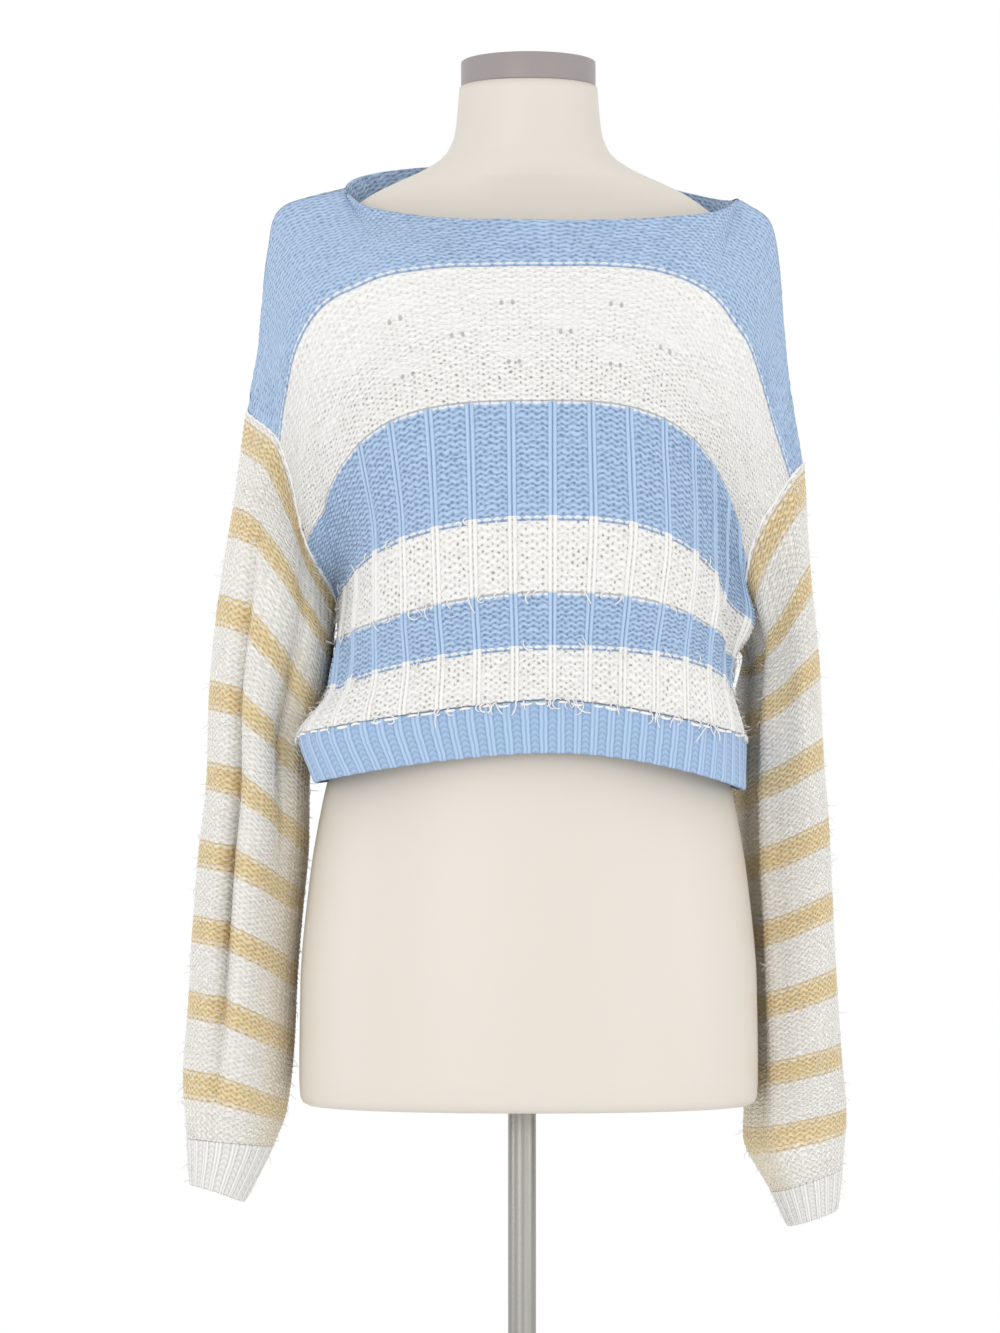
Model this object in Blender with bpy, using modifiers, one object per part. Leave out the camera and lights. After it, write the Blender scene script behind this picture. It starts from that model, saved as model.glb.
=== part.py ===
"""Cropped knit sweater with full sleeves, worn by a limbless dress form on a pole and a round foot.

Metres, +Z up, the front faces -Y. The origin is at the centre of the foot's underside, on the pole's axis.
Left and right are those of someone who looks at the front: left is -X.
"""

import math

import bpy
import numpy as np

# Cloth.
WALL = 0.0022  # knitted wall, without its ribs
SEAM_GAP = 0.0003  # between neighbouring pieces
SLEEVE_OUT = 0.0010  # the sleeve's first ring sits this far out from the armhole,
SLEEVE_DOWN = 0.0005  # and this far down
HEM_SEAM = 0.0011  # gap above the hem rib, as a share of the panel's length
BODY_MIDDLE_X = 0.022  # the garment hangs a little off the form's centre
NECK_SHARE = 0.44  # share of a half course that the neckline takes at the top; the shoulder ridge is the rest
NECK_CORNER = 2.5  # roundness of the neckline

# Ribs: pairs of raised knit columns on the lower body, and the narrow ribs of hem and cuffs.
BODY_RIBS_A_SIDE = 7
BODY_RIB_PITCH = 1 / 8.25  # of a half course
BODY_RIB_HALF = 0.018  # of a half course
BODY_RIB_RISE = 0.0012
HEM_RIBS = 34
HEM_RIB_RISE = 0.0009
CUFF_RIBS = 20
CUFF_RIB_RISE = 0.0008

# Grids.
ARMHOLE_STEPS = 14  # rows of a panel along its armhole, and half the columns of a sleeve
SIDE_STEPS = 8  # rows of a panel from underarm to hem rib
INNER_COLUMNS = 26
FORM_COLUMNS = 32

# Neck points, where the shoulder ridge meets the neckline, on each side. sag lowers the ridge's middle, and droop
# is the power of x by which the neckline falls away in the back, or 0 for its own roundness.
#              x       y       z      sag    droop
NECK_POINT = {
    "left": (-0.136, 0.0, 1.533, 0.014, 0),
    "right": (0.166, -0.004, 1.525, 0.018, 1.35),
}

# Courses of the body from neckline to hem, as shares of the panel's length, and their middles.
#          t      front_y  front_z  back_y  back_z
MIDDLES = (
    ("neck", 0.000, -0.078, 1.4986, 0.068, 1.562),
    ("yoke", 0.108, -0.103, 1.4600, 0.103, 1.480),
    ("bust", 0.368, -0.135, 1.3560, 0.113, 1.370),
    ("arms", 0.584, -0.140, 1.2670, 0.112, 1.275),
    ("rise", 0.712, -0.137, 1.2140, 0.112, 1.217),
    ("band", 0.815, -0.133, 1.1715, 0.113, 1.174),
    ("ribs", 0.904, -0.130, 1.1346, 0.116, 1.136),
    ("edge", 1.000, -0.121, 1.0956, 0.118, 1.098),
)
T_UNDERARM = MIDDLES[3][1]
T_HEM_RIB = MIDDLES[6][1]

# Ends of the same courses at the armhole, and below the underarm at the side seam.
# corner is the superellipse's exponent, and flare how far the end kicks out past it. droop is the power of x by
# which the course falls away from its middle, or 0 where it follows the corner.
#        x        z       front_y  back_y  corner flare  droop
ENDS = {
    "left": (
        (-0.2115, 1.3594, 0.000, 0.000, 8.0, 0.0140, 0),
        (-0.1840, 1.3320, -0.045, 0.045, 3.6, 0.0100, 0),
        (-0.1640, 1.2570, -0.050, 0.050, 3.3, 0.0280, 0),
        (-0.1415, 1.2080, -0.005, -0.005, 2.3, 0.0080, 0),
        (-0.1410, 1.1830, -0.005, -0.005, 2.3, 0.0000, 2.0),
        (-0.1480, 1.1430, -0.022, -0.022, 2.3, 0.0000, 2.0),
        (-0.1685, 1.1105, -0.045, -0.045, 2.5, 0.0000, 1.4),
        (-0.1570, 1.0740, -0.050, -0.050, 2.5, 0.0000, 1.65),
    ),
    "right": (
        (0.2162, 1.3202, 0.000, 0.000, 8.0, 0.0170, 0),
        (0.2040, 1.3060, -0.035, 0.045, 3.6, 0.0300, 0),
        (0.1710, 1.2420, -0.042, 0.048, 2.8, 0.0180, 0),
        (0.1660, 1.1780, 0.000, 0.000, 2.6, 0.0100, 0),
        (0.1600, 1.1550, 0.000, 0.000, 2.4, 0.0000, 0),
        (0.1610, 1.1360, -0.010, -0.010, 2.4, 0.0000, 0),
        (0.1690, 1.1090, -0.018, -0.018, 2.5, 0.0000, 1.5),
        (0.1700, 1.0686, -0.022, -0.022, 2.5, 0.0000, 1.75),
    ),
}

# Largest folds of the body, as soft troughs and ridges: push is outward, lean moves the fold's a along t.
#    panel    a      a_width  t      t_width  lean   push
BODY_FOLDS = (
    ("front", 0.890, 0.075, 0.560, 0.115, 0.00, 0.0160),
    ("front", -0.880, 0.060, 0.770, 0.060, 0.00, 0.0040),
    ("front", 0.760, 0.030, 0.680, 0.090, 0.35, -0.0060),
    ("front", 0.640, 0.045, 0.700, 0.100, 0.35, 0.0030),
    ("front", -0.800, 0.050, 0.780, 0.060, -0.30, -0.0040),
    ("front", -0.500, 0.050, 0.150, 0.110, 0.20, -0.0030),
    ("front", 0.520, 0.050, 0.160, 0.110, -0.20, -0.0030),
    ("front", -0.880, 0.050, 0.380, 0.070, 0.15, -0.0040),
    ("back", -0.880, 0.070, 0.770, 0.060, 0.00, 0.0060),
    ("back", -0.800, 0.110, 0.900, 0.060, 0.00, -0.0080),
    ("back", -0.750, 0.120, 1.000, 0.050, 0.00, 0.0045),
    ("back", -0.450, 0.060, 0.800, 0.120, 0.30, -0.0045),
    ("back", 0.400, 0.060, 0.760, 0.140, -0.30, -0.0045),
    ("back", 0.780, 0.050, 0.500, 0.090, 0.10, 0.0040),
    ("back", -0.780, 0.050, 0.470, 0.090, -0.10, 0.0040),
    ("back", 0.050, 0.070, 0.600, 0.160, 0.10, -0.0035),
)

# Rings of the sleeves below the armhole, at distance q down the knitted tube. The last two bound the cuff.
#    q      x_out    z_out   x_in     z_in    y_front y_back  yaw (y of the inner side minus that of the outer)
RINGS = {
    "left": (
        (0.075, -0.2231, 1.2732, -0.1480, 1.1763, -0.062, 0.060, 0.004),
        (0.135, -0.2338, 1.2063, -0.1560, 1.1255, -0.050, 0.072, 0.010),
        (0.195, -0.2400, 1.1417, -0.1650, 1.0809, -0.040, 0.078, 0.014),
        (0.255, -0.2423, 1.0802, -0.1660, 1.0286, -0.035, 0.078, 0.014),
        (0.315, -0.2485, 1.0209, -0.1700, 0.9830, -0.032, 0.078, 0.014),
        (0.375, -0.2525, 0.9632, -0.1740, 0.9280, -0.031, 0.078, 0.014),
        (0.435, -0.2560, 0.9055, -0.1765, 0.8750, -0.030, 0.077, 0.012),
        (0.495, -0.2605, 0.8455, -0.1823, 0.8230, -0.027, 0.073, 0.008),
        (0.535, -0.2577, 0.8010, -0.1923, 0.7950, -0.015, 0.060, 0.004),
        (0.572, -0.2554, 0.7648, -0.2140, 0.7517, -0.005, 0.048, 0.002),
    ),
    "right": (
        (0.075, 0.2215, 1.2309, 0.1780, 1.1610, -0.042, 0.085, 0.030),
        (0.135, 0.2277, 1.1663, 0.1740, 1.1180, -0.034, 0.097, 0.050),
        (0.195, 0.2308, 1.0978, 0.1720, 1.0630, -0.024, 0.108, 0.060),
        (0.255, 0.2362, 1.0378, 0.1720, 1.0070, -0.018, 0.113, 0.060),
        (0.315, 0.2392, 0.9817, 0.1750, 0.9520, -0.014, 0.116, 0.050),
        (0.375, 0.2423, 0.9225, 0.1760, 0.8990, -0.010, 0.118, 0.036),
        (0.435, 0.2469, 0.8648, 0.1760, 0.8480, -0.006, 0.118, 0.024),
        (0.495, 0.2515, 0.8148, 0.1740, 0.7990, 0.000, 0.114, 0.014),
        (0.535, 0.2485, 0.7760, 0.1946, 0.7570, 0.016, 0.092, 0.006),
        (0.572, 0.2450, 0.7430, 0.2070, 0.7302, 0.028, 0.078, 0.002),
    ),
}
RING_CORNER = 2.25
RING_FALL = {"left": 1.7, "right": 1.0}  # power by which a ring falls from its outer to its inner side
Q_CUFF = 0.535
Q_END = 0.572

# Long folds of the sleeves. phi is 0 on the outer side, 90 in front, 180 by the body, 270 in the back.
#    sleeve   phi   phi_width  q      q_width  lean (degrees a metre)  push
SLEEVE_FOLDS = (
    ("left", 70, 9, 0.330, 0.160, 20, -0.0200),
    ("left", 67, 8, 0.120, 0.070, 0, -0.0060),
    ("left", 122, 10, 0.170, 0.090, 20, -0.0120),
    ("left", 96, 12, 0.240, 0.180, 0, 0.0040),
    ("left", 215, 24, 0.115, 0.080, 0, 0.0070),
    ("left", 250, 12, 0.260, 0.120, 20, -0.0070),
    ("left", 300, 12, 0.420, 0.090, -20, -0.0050),
    ("right", 116, 9, 0.270, 0.260, 0, 0.0050),
    ("right", 138, 9, 0.270, 0.260, 0, -0.0080),
    ("right", 90, 14, 0.140, 0.070, 0, -0.0030),
    ("right", 212, 24, 0.165, 0.110, 0, 0.0160),
    ("right", 240, 12, 0.300, 0.120, 20, -0.0070),
    ("right", 290, 12, 0.180, 0.090, -30, -0.0050),
)

# Dress form.
FORM_MIDDLE_X = 0.005
#    z      half_width  front   back
FORM_SECTIONS = (
    (0.8280, 0.1690, 0.1085, 0.1030),
    (0.8300, 0.1730, 0.1120, 0.1080),
    (0.8350, 0.1750, 0.1140, 0.1120),
    (0.8500, 0.1758, 0.1150, 0.1180),
    (0.9200, 0.1750, 0.1150, 0.1250),
    (1.0000, 0.1680, 0.1130, 0.1150),
    (1.0600, 0.1580, 0.1080, 0.1070),
    (1.1000, 0.1480, 0.1030, 0.0980),
    (1.1400, 0.1380, 0.0980, 0.0850),
    (1.1800, 0.1310, 0.0950, 0.0750),
    (1.2200, 0.1320, 0.0980, 0.0780),
    (1.2700, 0.1400, 0.1080, 0.0900),
    (1.3200, 0.1500, 0.1200, 0.0970),
    (1.3600, 0.1560, 0.1200, 0.1000),
    (1.4000, 0.1580, 0.1080, 0.1000),
    (1.4400, 0.1640, 0.0920, 0.0960),
    (1.4700, 0.1680, 0.0740, 0.0820),
    (1.4900, 0.1620, 0.0600, 0.0690),
    (1.5050, 0.1500, 0.0510, 0.0590),
    (1.5180, 0.1350, 0.0480, 0.0540),
    (1.5280, 0.1200, 0.0490, 0.0540),
    (1.5370, 0.1010, 0.0510, 0.0560),
    (1.5460, 0.0810, 0.0520, 0.0560),
    (1.5590, 0.0635, 0.0500, 0.0520),
    (1.5760, 0.0566, 0.0505, 0.0510),
    (1.6100, 0.0533, 0.0525, 0.0525),
)
FORM_CORNER = 2.15
CAP_HEIGHT = 0.0205
CAP_RADIUS = 0.0520
POLE_RADIUS = 0.01075
BASE_RADIUS = 0.165
BASE_THICKNESS = 0.008


def clear_scene():
    for obj in list(bpy.data.objects):
        bpy.data.objects.remove(obj, do_unlink=True)


def smooth(knots, values, at):
    """Cubic without overshoot through rows of values, one at each knot. at has the shape of values[0, ..., 0]."""
    knots = np.asarray(knots, float)
    step = np.diff(knots)
    rise = np.diff(values, axis=0) / step.reshape((-1,) + (1,) * (values.ndim - 1))
    before, after = rise[:-1], rise[1:]
    total = np.where(before + after == 0, 1, before + after)
    slope = np.concatenate([rise[:1], np.where(before * after > 0, 2 * before * after / total, 0), rise[-1:]])
    row = np.clip(np.searchsorted(knots, at, side="right") - 1, 0, len(knots) - 2)
    share = ((at - knots[row]) / step[row])[..., None]
    width = step[row][..., None]

    def taken(table, index):
        return np.take_along_axis(table, index[None, ..., None], axis=0)[0]

    start, end = taken(values, row), taken(values, row + 1)
    slope_in, slope_out = taken(slope, row) * width, taken(slope, row + 1) * width
    square, cube = share**2, share**3
    return (
        (2 * cube - 3 * square + 1) * start
        + (cube - 2 * square + share) * slope_in
        + (3 * square - 2 * cube) * end
        + (cube - square) * slope_out
    )


def quarter(corner, count=160):
    """Superellipse's across and up shares, from its middle to its end."""
    angle = np.linspace(math.pi / 2, 0, count)
    return np.cos(angle).clip(0) ** (2 / corner), np.sin(angle).clip(0) ** (2 / corner)


def along(line, share):
    """Points at shares of the line's length."""
    travelled = np.concatenate([[0], np.cumsum(np.linalg.norm(np.diff(line, axis=0), axis=1))])
    return np.stack([np.interp(share * travelled[-1], travelled, line[:, i]) for i in range(3)], axis=-1)


def half_course(panel, side, row, share):
    """Points of half a course, from the body's middle (share 0) to its armhole or side seam (share 1)."""
    _, _, front_y, front_z, back_y, back_z = MIDDLES[row]
    middle_y, middle_z = (front_y, front_z) if panel == "front" else (back_y, back_z)
    end_x, end_z, front_end_y, back_end_y, corner, flare, droop = ENDS[side][row]
    end_y = front_end_y if panel == "front" else back_end_y
    outward = -1 if side == "left" else 1
    across, up = quarter(corner)
    kick = outward * flare * (1 - up) ** 2
    if row > 0:
        reach = end_x - BODY_MIDDLE_X - outward * flare
        x = BODY_MIDDLE_X + reach * across + kick
        up_z = 1 - across**droop if droop else up
        z = end_z + (middle_z - end_z) * up_z
        return along(np.stack([x, end_y + (middle_y - end_y) * up, z], axis=-1), share)
    neck_x, neck_y, neck_z, sag, back_droop = NECK_POINT[side]
    ridge_x = neck_x + (end_x - neck_x - outward * flare) * across + kick
    ridge_z = end_z + (neck_z - end_z) * up - sag * across * up
    ridge = np.stack([ridge_x, neck_y + (end_y - neck_y) * (1 - up), ridge_z], axis=-1)
    across, up = quarter(NECK_CORNER)
    up_z = 1 - across**back_droop if back_droop and panel == "back" else up
    neckline = np.stack(
        [
            BODY_MIDDLE_X + (neck_x - BODY_MIDDLE_X) * across,
            neck_y + (middle_y - neck_y) * up,
            neck_z + (middle_z - neck_z) * up_z,
        ],
        axis=-1,
    )
    on_neck = along(neckline, np.clip(share / NECK_SHARE, 0, 1))
    on_ridge = along(ridge, np.clip((share - NECK_SHARE) / (1 - NECK_SHARE), 0, 1))
    return np.where((share <= NECK_SHARE)[..., None], on_neck, on_ridge)


def plain_body(panel, a, t):
    """Body without its folds. a runs from -1 on the left to 1 on the right, t down from neck to hem."""
    rows = []
    for row in range(len(MIDDLES)):
        left = half_course(panel, "left", row, np.abs(a))
        right = half_course(panel, "right", row, np.abs(a))
        rows.append(np.where((a < 0)[..., None], left, right))
    return smooth([row[1] for row in MIDDLES], np.stack(rows), t)


def normals(surface, u, v, span_u, span_v, outward):
    """Unit normals by small steps within the spans."""
    step_u = 0.002 * (span_u[1] - span_u[0])
    step_v = 0.002 * (span_v[1] - span_v[0])
    low_u, high_u = np.maximum(u - step_u, span_u[0]), np.minimum(u + step_u, span_u[1])
    low_v, high_v = np.maximum(v - step_v, span_v[0]), np.minimum(v + step_v, span_v[1])
    normal = np.cross(surface(high_u, v) - surface(low_u, v), surface(u, high_v) - surface(u, low_v))
    return outward * normal / np.linalg.norm(normal, axis=-1, keepdims=True)


def bump(value, centre, width):
    return np.exp(-(((value - centre) / width) ** 2))


def body_surface(panel):
    """Function of (a, t) for the outer face of the knit, before its ribs."""
    facing = -1 if panel == "front" else 1

    def surface(a, t):
        points = plain_body(panel, a, t)
        facing_out = normals(lambda u, v: plain_body(panel, u, v), a, t, (-1, 1), (0, 1), facing)
        push = np.zeros_like(a)
        for where, centre, width, level, height, lean, amount in BODY_FOLDS:
            if where == panel:
                push += amount * bump(a, centre + lean * (t - level), width) * bump(t, level, height)
        # The folds die out at the seams, so that neighbouring pieces still meet.
        push *= np.clip((1 - np.abs(a)) / 0.12, 0, 1) ** 2 * np.clip(t / 0.06, 0, 1)
        return points + facing_out * push[..., None]

    return surface


def body_normals(panel, surface, a, t):
    facing = -1 if panel == "front" else 1
    facing_out = normals(surface, a, t, (-1, 1), (0, 1), facing)
    on_seam = (np.abs(a) > 0.995) & ((t < 1e-6) | (t > T_UNDERARM - 1e-6))
    on_seam |= (t < 1e-6) & (np.abs(a) > NECK_SHARE - 1e-3)
    facing_out[..., 1] = np.where(on_seam, 0, facing_out[..., 1])
    return facing_out / np.linalg.norm(facing_out, axis=-1, keepdims=True)


def parted(panel, points, a, t):
    """The two panels pulled apart by the seam's gap, in y, along shoulder ridge and side seam."""
    near_side = np.clip((np.abs(a) - 0.9) / 0.1, 0, 1) * np.clip((t - T_UNDERARM + 0.1) / 0.1, 0, 1)
    near_ridge = np.clip((np.abs(a) - NECK_SHARE + 0.05) / 0.05, 0, 1) * np.clip(1 - t / 0.1, 0, 1)
    moved = points.copy()
    moved[..., 1] += (-0.5 if panel == "front" else 0.5) * SEAM_GAP * np.maximum(near_side, near_ridge)
    return moved


def zipped(first, first_at, second, second_at):
    """Triangles between two edges whose points have places that rise along them."""
    triangles = []
    i, j = 0, 0
    while i < len(first) - 1 or j < len(second) - 1:
        at_end = j == len(second) - 1
        more_first = at_end or (i < len(first) - 1 and first_at[i + 1] <= second_at[j + 1] + 1e-9)
        if more_first:
            triangles.append((first[i], second[j], first[i + 1]))
            i += 1
        else:
            triangles.append((first[i], second[j], second[j + 1]))
            j += 1
    return triangles


def grid_triangles(index, reverse):
    triangles = []
    for i in range(index.shape[0] - 1):
        for j in range(index.shape[1] - 1):
            corners = (index[i, j], index[i + 1, j], index[i + 1, j + 1], index[i, j + 1])
            if reverse:
                corners = corners[::-1]
            triangles.append((corners[0], corners[1], corners[2]))
            triangles.append((corners[0], corners[2], corners[3]))
    return triangles


def wall_mesh(outer, outer_u, outer_v, inner, inner_u, inner_v, closed):
    """Points and triangles of a wall between two grids, each [u, v]. A closed wall is a tube round u."""
    outer_index = np.arange(outer.shape[0] * outer.shape[1]).reshape(outer.shape[:2])
    inner_index = np.arange(inner.shape[0] * inner.shape[1]).reshape(inner.shape[:2]) + outer_index.size
    outer_u, inner_u = list(outer_u), list(inner_u)
    if closed:
        outer_index = np.concatenate([outer_index, outer_index[:1]])
        inner_index = np.concatenate([inner_index, inner_index[:1]])
        outer_u.append(outer_u[0] + 2 * math.pi)
        inner_u.append(inner_u[0] + 2 * math.pi)
    triangles = grid_triangles(outer_index, False) + grid_triangles(inner_index, True)
    triangles += zipped(outer_index[:, 0], outer_u, inner_index[:, 0], inner_u)
    triangles += [face[::-1] for face in zipped(outer_index[:, -1], outer_u, inner_index[:, -1], inner_u)]
    if not closed:
        triangles += zipped(outer_index[-1], outer_v, inner_index[-1], inner_v)
        triangles += [face[::-1] for face in zipped(outer_index[0], outer_v, inner_index[0], inner_v)]
    points = np.concatenate([outer.reshape(-1, 3), inner.reshape(-1, 3)])
    faces = np.array(triangles)
    corners = points[faces]
    volume = np.einsum("ij,ij->i", corners[:, 0], np.cross(corners[:, 1], corners[:, 2])).sum()
    return points, faces if volume > 0 else faces[:, ::-1]


def material(name, colour, roughness):
    made = bpy.data.materials.new(name)
    made.use_nodes = True
    shader = made.node_tree.nodes["Principled BSDF"]
    shader.inputs["Base Color"].default_value = (*colour, 1)
    shader.inputs["Roughness"].default_value = roughness
    return made


def solid(collection, name, points, faces, look):
    mesh = bpy.data.meshes.new(name)
    mesh.from_pydata([tuple(p) for p in points], [], [tuple(int(i) for i in f) for f in faces])
    mesh.validate()
    mesh.shade_smooth()
    obj = bpy.data.objects.new(name, mesh)
    collection.objects.link(obj)
    mesh.materials.append(look)
    return obj


def sheet(surface, panel, u, v, rise):
    """Grid of points on the body, moved out by rise, which has the grid's shape."""
    a, t = np.meshgrid(u, v, indexing="ij")
    points = surface(a, t) + body_normals(panel, surface, a, t) * rise[..., None]
    return parted(panel, points, a, t)


def armhole_rows():
    """Values of t at even shares of the left front armhole."""
    fine = np.linspace(0, T_UNDERARM, 200)
    edge = plain_body("front", np.full_like(fine, -1), fine)
    travelled = np.concatenate([[0], np.cumsum(np.linalg.norm(np.diff(edge, axis=0), axis=1))])
    return np.interp(np.linspace(0, travelled[-1], ARMHOLE_STEPS + 1), travelled, fine)


def body_panel(collection, panel, look):
    surface = body_surface(panel)
    columns, crests = [-1.0, -0.965, -0.92], [0.0, 0.0, 0.0]
    for k in range(-BODY_RIBS_A_SIDE, BODY_RIBS_A_SIDE + 1):
        middle = k * BODY_RIB_PITCH
        columns += [middle - BODY_RIB_HALF, middle, middle + BODY_RIB_HALF]
        crests += [0.0, BODY_RIB_RISE, 0.0]
    columns += [0.92, 0.965, 1.0]
    crests += [0.0, 0.0, 0.0]
    side_rows = np.linspace(T_UNDERARM, T_HEM_RIB - HEM_SEAM, SIDE_STEPS + 1)[1:]
    rows = np.concatenate([armhole_rows(), side_rows])
    ribbed = np.clip((rows - 0.33) / 0.05, 0, 1)
    outer = sheet(surface, panel, columns, rows, np.outer(crests, ribbed))
    inner_columns = np.linspace(-1, 1, INNER_COLUMNS + 1)
    inner = sheet(surface, panel, inner_columns, rows, np.full((INNER_COLUMNS + 1, len(rows)), -WALL))
    points, faces = wall_mesh(outer, columns, rows, inner, inner_columns, rows, False)
    return solid(collection, panel + "_panel", points, faces, look)


def hem_rib(collection, panel, look):
    surface = body_surface(panel)
    columns = np.linspace(-1, 1, 2 * HEM_RIBS + 1)
    crests = np.where(np.arange(2 * HEM_RIBS + 1) % 2 == 1, HEM_RIB_RISE, 0)
    rows = np.array([T_HEM_RIB, (T_HEM_RIB + 1) / 2, 1.0])
    outer = sheet(surface, panel, columns, rows, np.outer(crests, np.ones(3)))
    inner_columns = np.linspace(-1, 1, INNER_COLUMNS + 1)
    inner = sheet(surface, panel, inner_columns, rows, np.full((INNER_COLUMNS + 1, 3), -WALL))
    points, faces = wall_mesh(outer, columns, rows, inner, inner_columns, rows, False)
    return solid(collection, "hem_rib_" + panel, points, faces, look)


def sleeve_surface(side):
    """Function of (phi, q) for the outer face of a sleeve."""
    outward = -1 if side == "left" else 1
    row_shares = np.linspace(0, 1, ARMHOLE_STEPS + 1)
    row_levels = armhole_rows()
    knots = [0.0] + [row[0] for row in RINGS[side]]

    def plain(phi, q):
        phi = np.mod(phi, 2 * math.pi)
        share = np.where(phi <= math.pi, phi, 2 * math.pi - phi) / math.pi
        level = np.interp(share, row_shares, row_levels)
        edge = np.full_like(level, outward)
        front, back = plain_body("front", edge, level), plain_body("back", edge, level)
        armhole = np.where((phi <= math.pi)[..., None], front, back)
        armhole = armhole + np.array([outward * SLEEVE_OUT, 0, -SLEEVE_DOWN])
        rings = [armhole]
        for _, x_out, z_out, x_in, z_in, y_front, y_back, yaw in RINGS[side]:
            c = np.sign(np.cos(phi)) * np.abs(np.cos(phi)) ** (2 / RING_CORNER)
            s = np.sign(np.sin(phi)) * np.abs(np.sin(phi)) ** (2 / RING_CORNER)
            x = (x_out + x_in) / 2 + (x_out - x_in) / 2 * c
            y = (y_front + y_back) / 2 - (y_back - y_front) / 2 * s - yaw / 2 * c
            z = z_out + (z_in - z_out) * ((1 - c) / 2) ** RING_FALL[side]
            rings.append(np.stack([x, y, z], axis=-1))
        return smooth(knots, np.stack(rings), q)

    def surface(phi, q):
        points = plain(phi, q)
        facing_out = normals(plain, phi, q, (-10, 10), (0, Q_END), outward)
        push = np.zeros_like(phi)
        for where, centre, width, level, length, lean, amount in SLEEVE_FOLDS:
            if where == side:
                place = np.degrees(phi) % 360 - (centre + lean * (q - level))
                push += amount * np.exp(-((place / width) ** 2)) * bump(q, level, length)
        push *= np.clip(q / 0.04, 0, 1) * np.clip((Q_CUFF - q) / 0.05, 0, 1)
        return points + facing_out * push[..., None]

    return surface, outward


def tube(surface, outward, phi, q, rise):
    angle, distance = np.meshgrid(phi, q, indexing="ij")
    facing_out = normals(surface, angle, distance, (-10, 10), (0, Q_END), outward)
    return surface(angle, distance) + facing_out * rise[..., None]


def sleeve(collection, side, look):
    surface, outward = sleeve_surface(side)
    phi = np.arange(2 * ARMHOLE_STEPS) * math.pi / ARMHOLE_STEPS
    rows = np.concatenate([[0, 0.012, 0.03], np.linspace(0.05, Q_CUFF - 1.5 * SEAM_GAP, 18)])
    inner_rows = np.concatenate([[0, 0.03], np.linspace(0.06, Q_CUFF - 1.5 * SEAM_GAP, 11)])
    outer = tube(surface, outward, phi, rows, np.zeros((len(phi), len(rows))))
    inner = tube(surface, outward, phi, inner_rows, np.full((len(phi), len(inner_rows)), -WALL))
    points, faces = wall_mesh(outer, phi, rows, inner, phi, inner_rows, True)
    return solid(collection, "sleeve_" + side, points, faces, look)


def cuff(collection, side, look):
    surface, outward = sleeve_surface(side)
    phi = np.arange(2 * CUFF_RIBS) * math.pi / CUFF_RIBS
    crests = np.where(np.arange(2 * CUFF_RIBS) % 2 == 1, CUFF_RIB_RISE, 0)
    rows = np.array([Q_CUFF, (Q_CUFF + Q_END) / 2, Q_END])
    outer = tube(surface, outward, phi, rows, np.outer(crests, np.ones(3)))
    inner = tube(surface, outward, phi, rows, np.full((len(phi), 3), -WALL))
    points, faces = wall_mesh(outer, phi, rows, inner, phi, rows, True)
    return solid(collection, "cuff_" + side, points, faces, look)


def form_torso(collection, look):
    """Smooth closed body through the form's sections, with a flat neck top and a flat underside."""
    angle = np.arange(FORM_COLUMNS) * 2 * math.pi / FORM_COLUMNS
    c = np.sign(np.cos(angle)) * np.abs(np.cos(angle)) ** (2 / FORM_CORNER)
    s = np.sign(np.sin(angle)) * np.abs(np.sin(angle)) ** (2 / FORM_CORNER)
    points = []
    for z, half_width, front, back in FORM_SECTIONS:
        depth = np.where(s < 0, front, back)
        points += [(FORM_MIDDLE_X + half_width * x, y * d, z) for x, y, d in zip(c, s, depth)]
    triangles = []
    for row in range(len(FORM_SECTIONS) - 1):
        for i in range(FORM_COLUMNS):
            low, right = row * FORM_COLUMNS + i, row * FORM_COLUMNS + (i + 1) % FORM_COLUMNS
            triangles += [(low, right, right + FORM_COLUMNS), (low, right + FORM_COLUMNS, low + FORM_COLUMNS)]
    points += [(FORM_MIDDLE_X, 0, FORM_SECTIONS[0][0]), (FORM_MIDDLE_X, 0, FORM_SECTIONS[-1][0])]
    bottom, top = len(points) - 2, len(points) - 1
    last = (len(FORM_SECTIONS) - 1) * FORM_COLUMNS
    for i in range(FORM_COLUMNS):
        after = (i + 1) % FORM_COLUMNS
        triangles += [(bottom, after, i), (top, last + i, last + after)]
    return solid(collection, "form_torso", points, triangles, look)


def turned(collection, name, radius, low, high, edge, steps, middle_x, look):
    """Disc or rod turned about a vertical axis, with rounded edges."""
    profile = [(0, low), (radius - edge, low), (radius, low + edge), (radius, high - edge), (radius - edge, high)]
    profile.append((0, high))
    mesh = bpy.data.meshes.new(name)
    mesh.from_pydata([(x, 0, z) for x, z in profile], [(i, i + 1) for i in range(len(profile) - 1)], [])
    mesh.materials.append(look)
    obj = bpy.data.objects.new(name, mesh)
    obj.location.x = middle_x
    collection.objects.link(obj)
    screw = obj.modifiers.new("Turn", "SCREW")
    screw.steps = steps
    screw.render_steps = steps
    screw.use_merge_vertices = True
    screw.merge_threshold = 0.00001
    screw.use_normal_calculate = True
    screw.use_smooth_shade = True
    return obj


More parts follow.
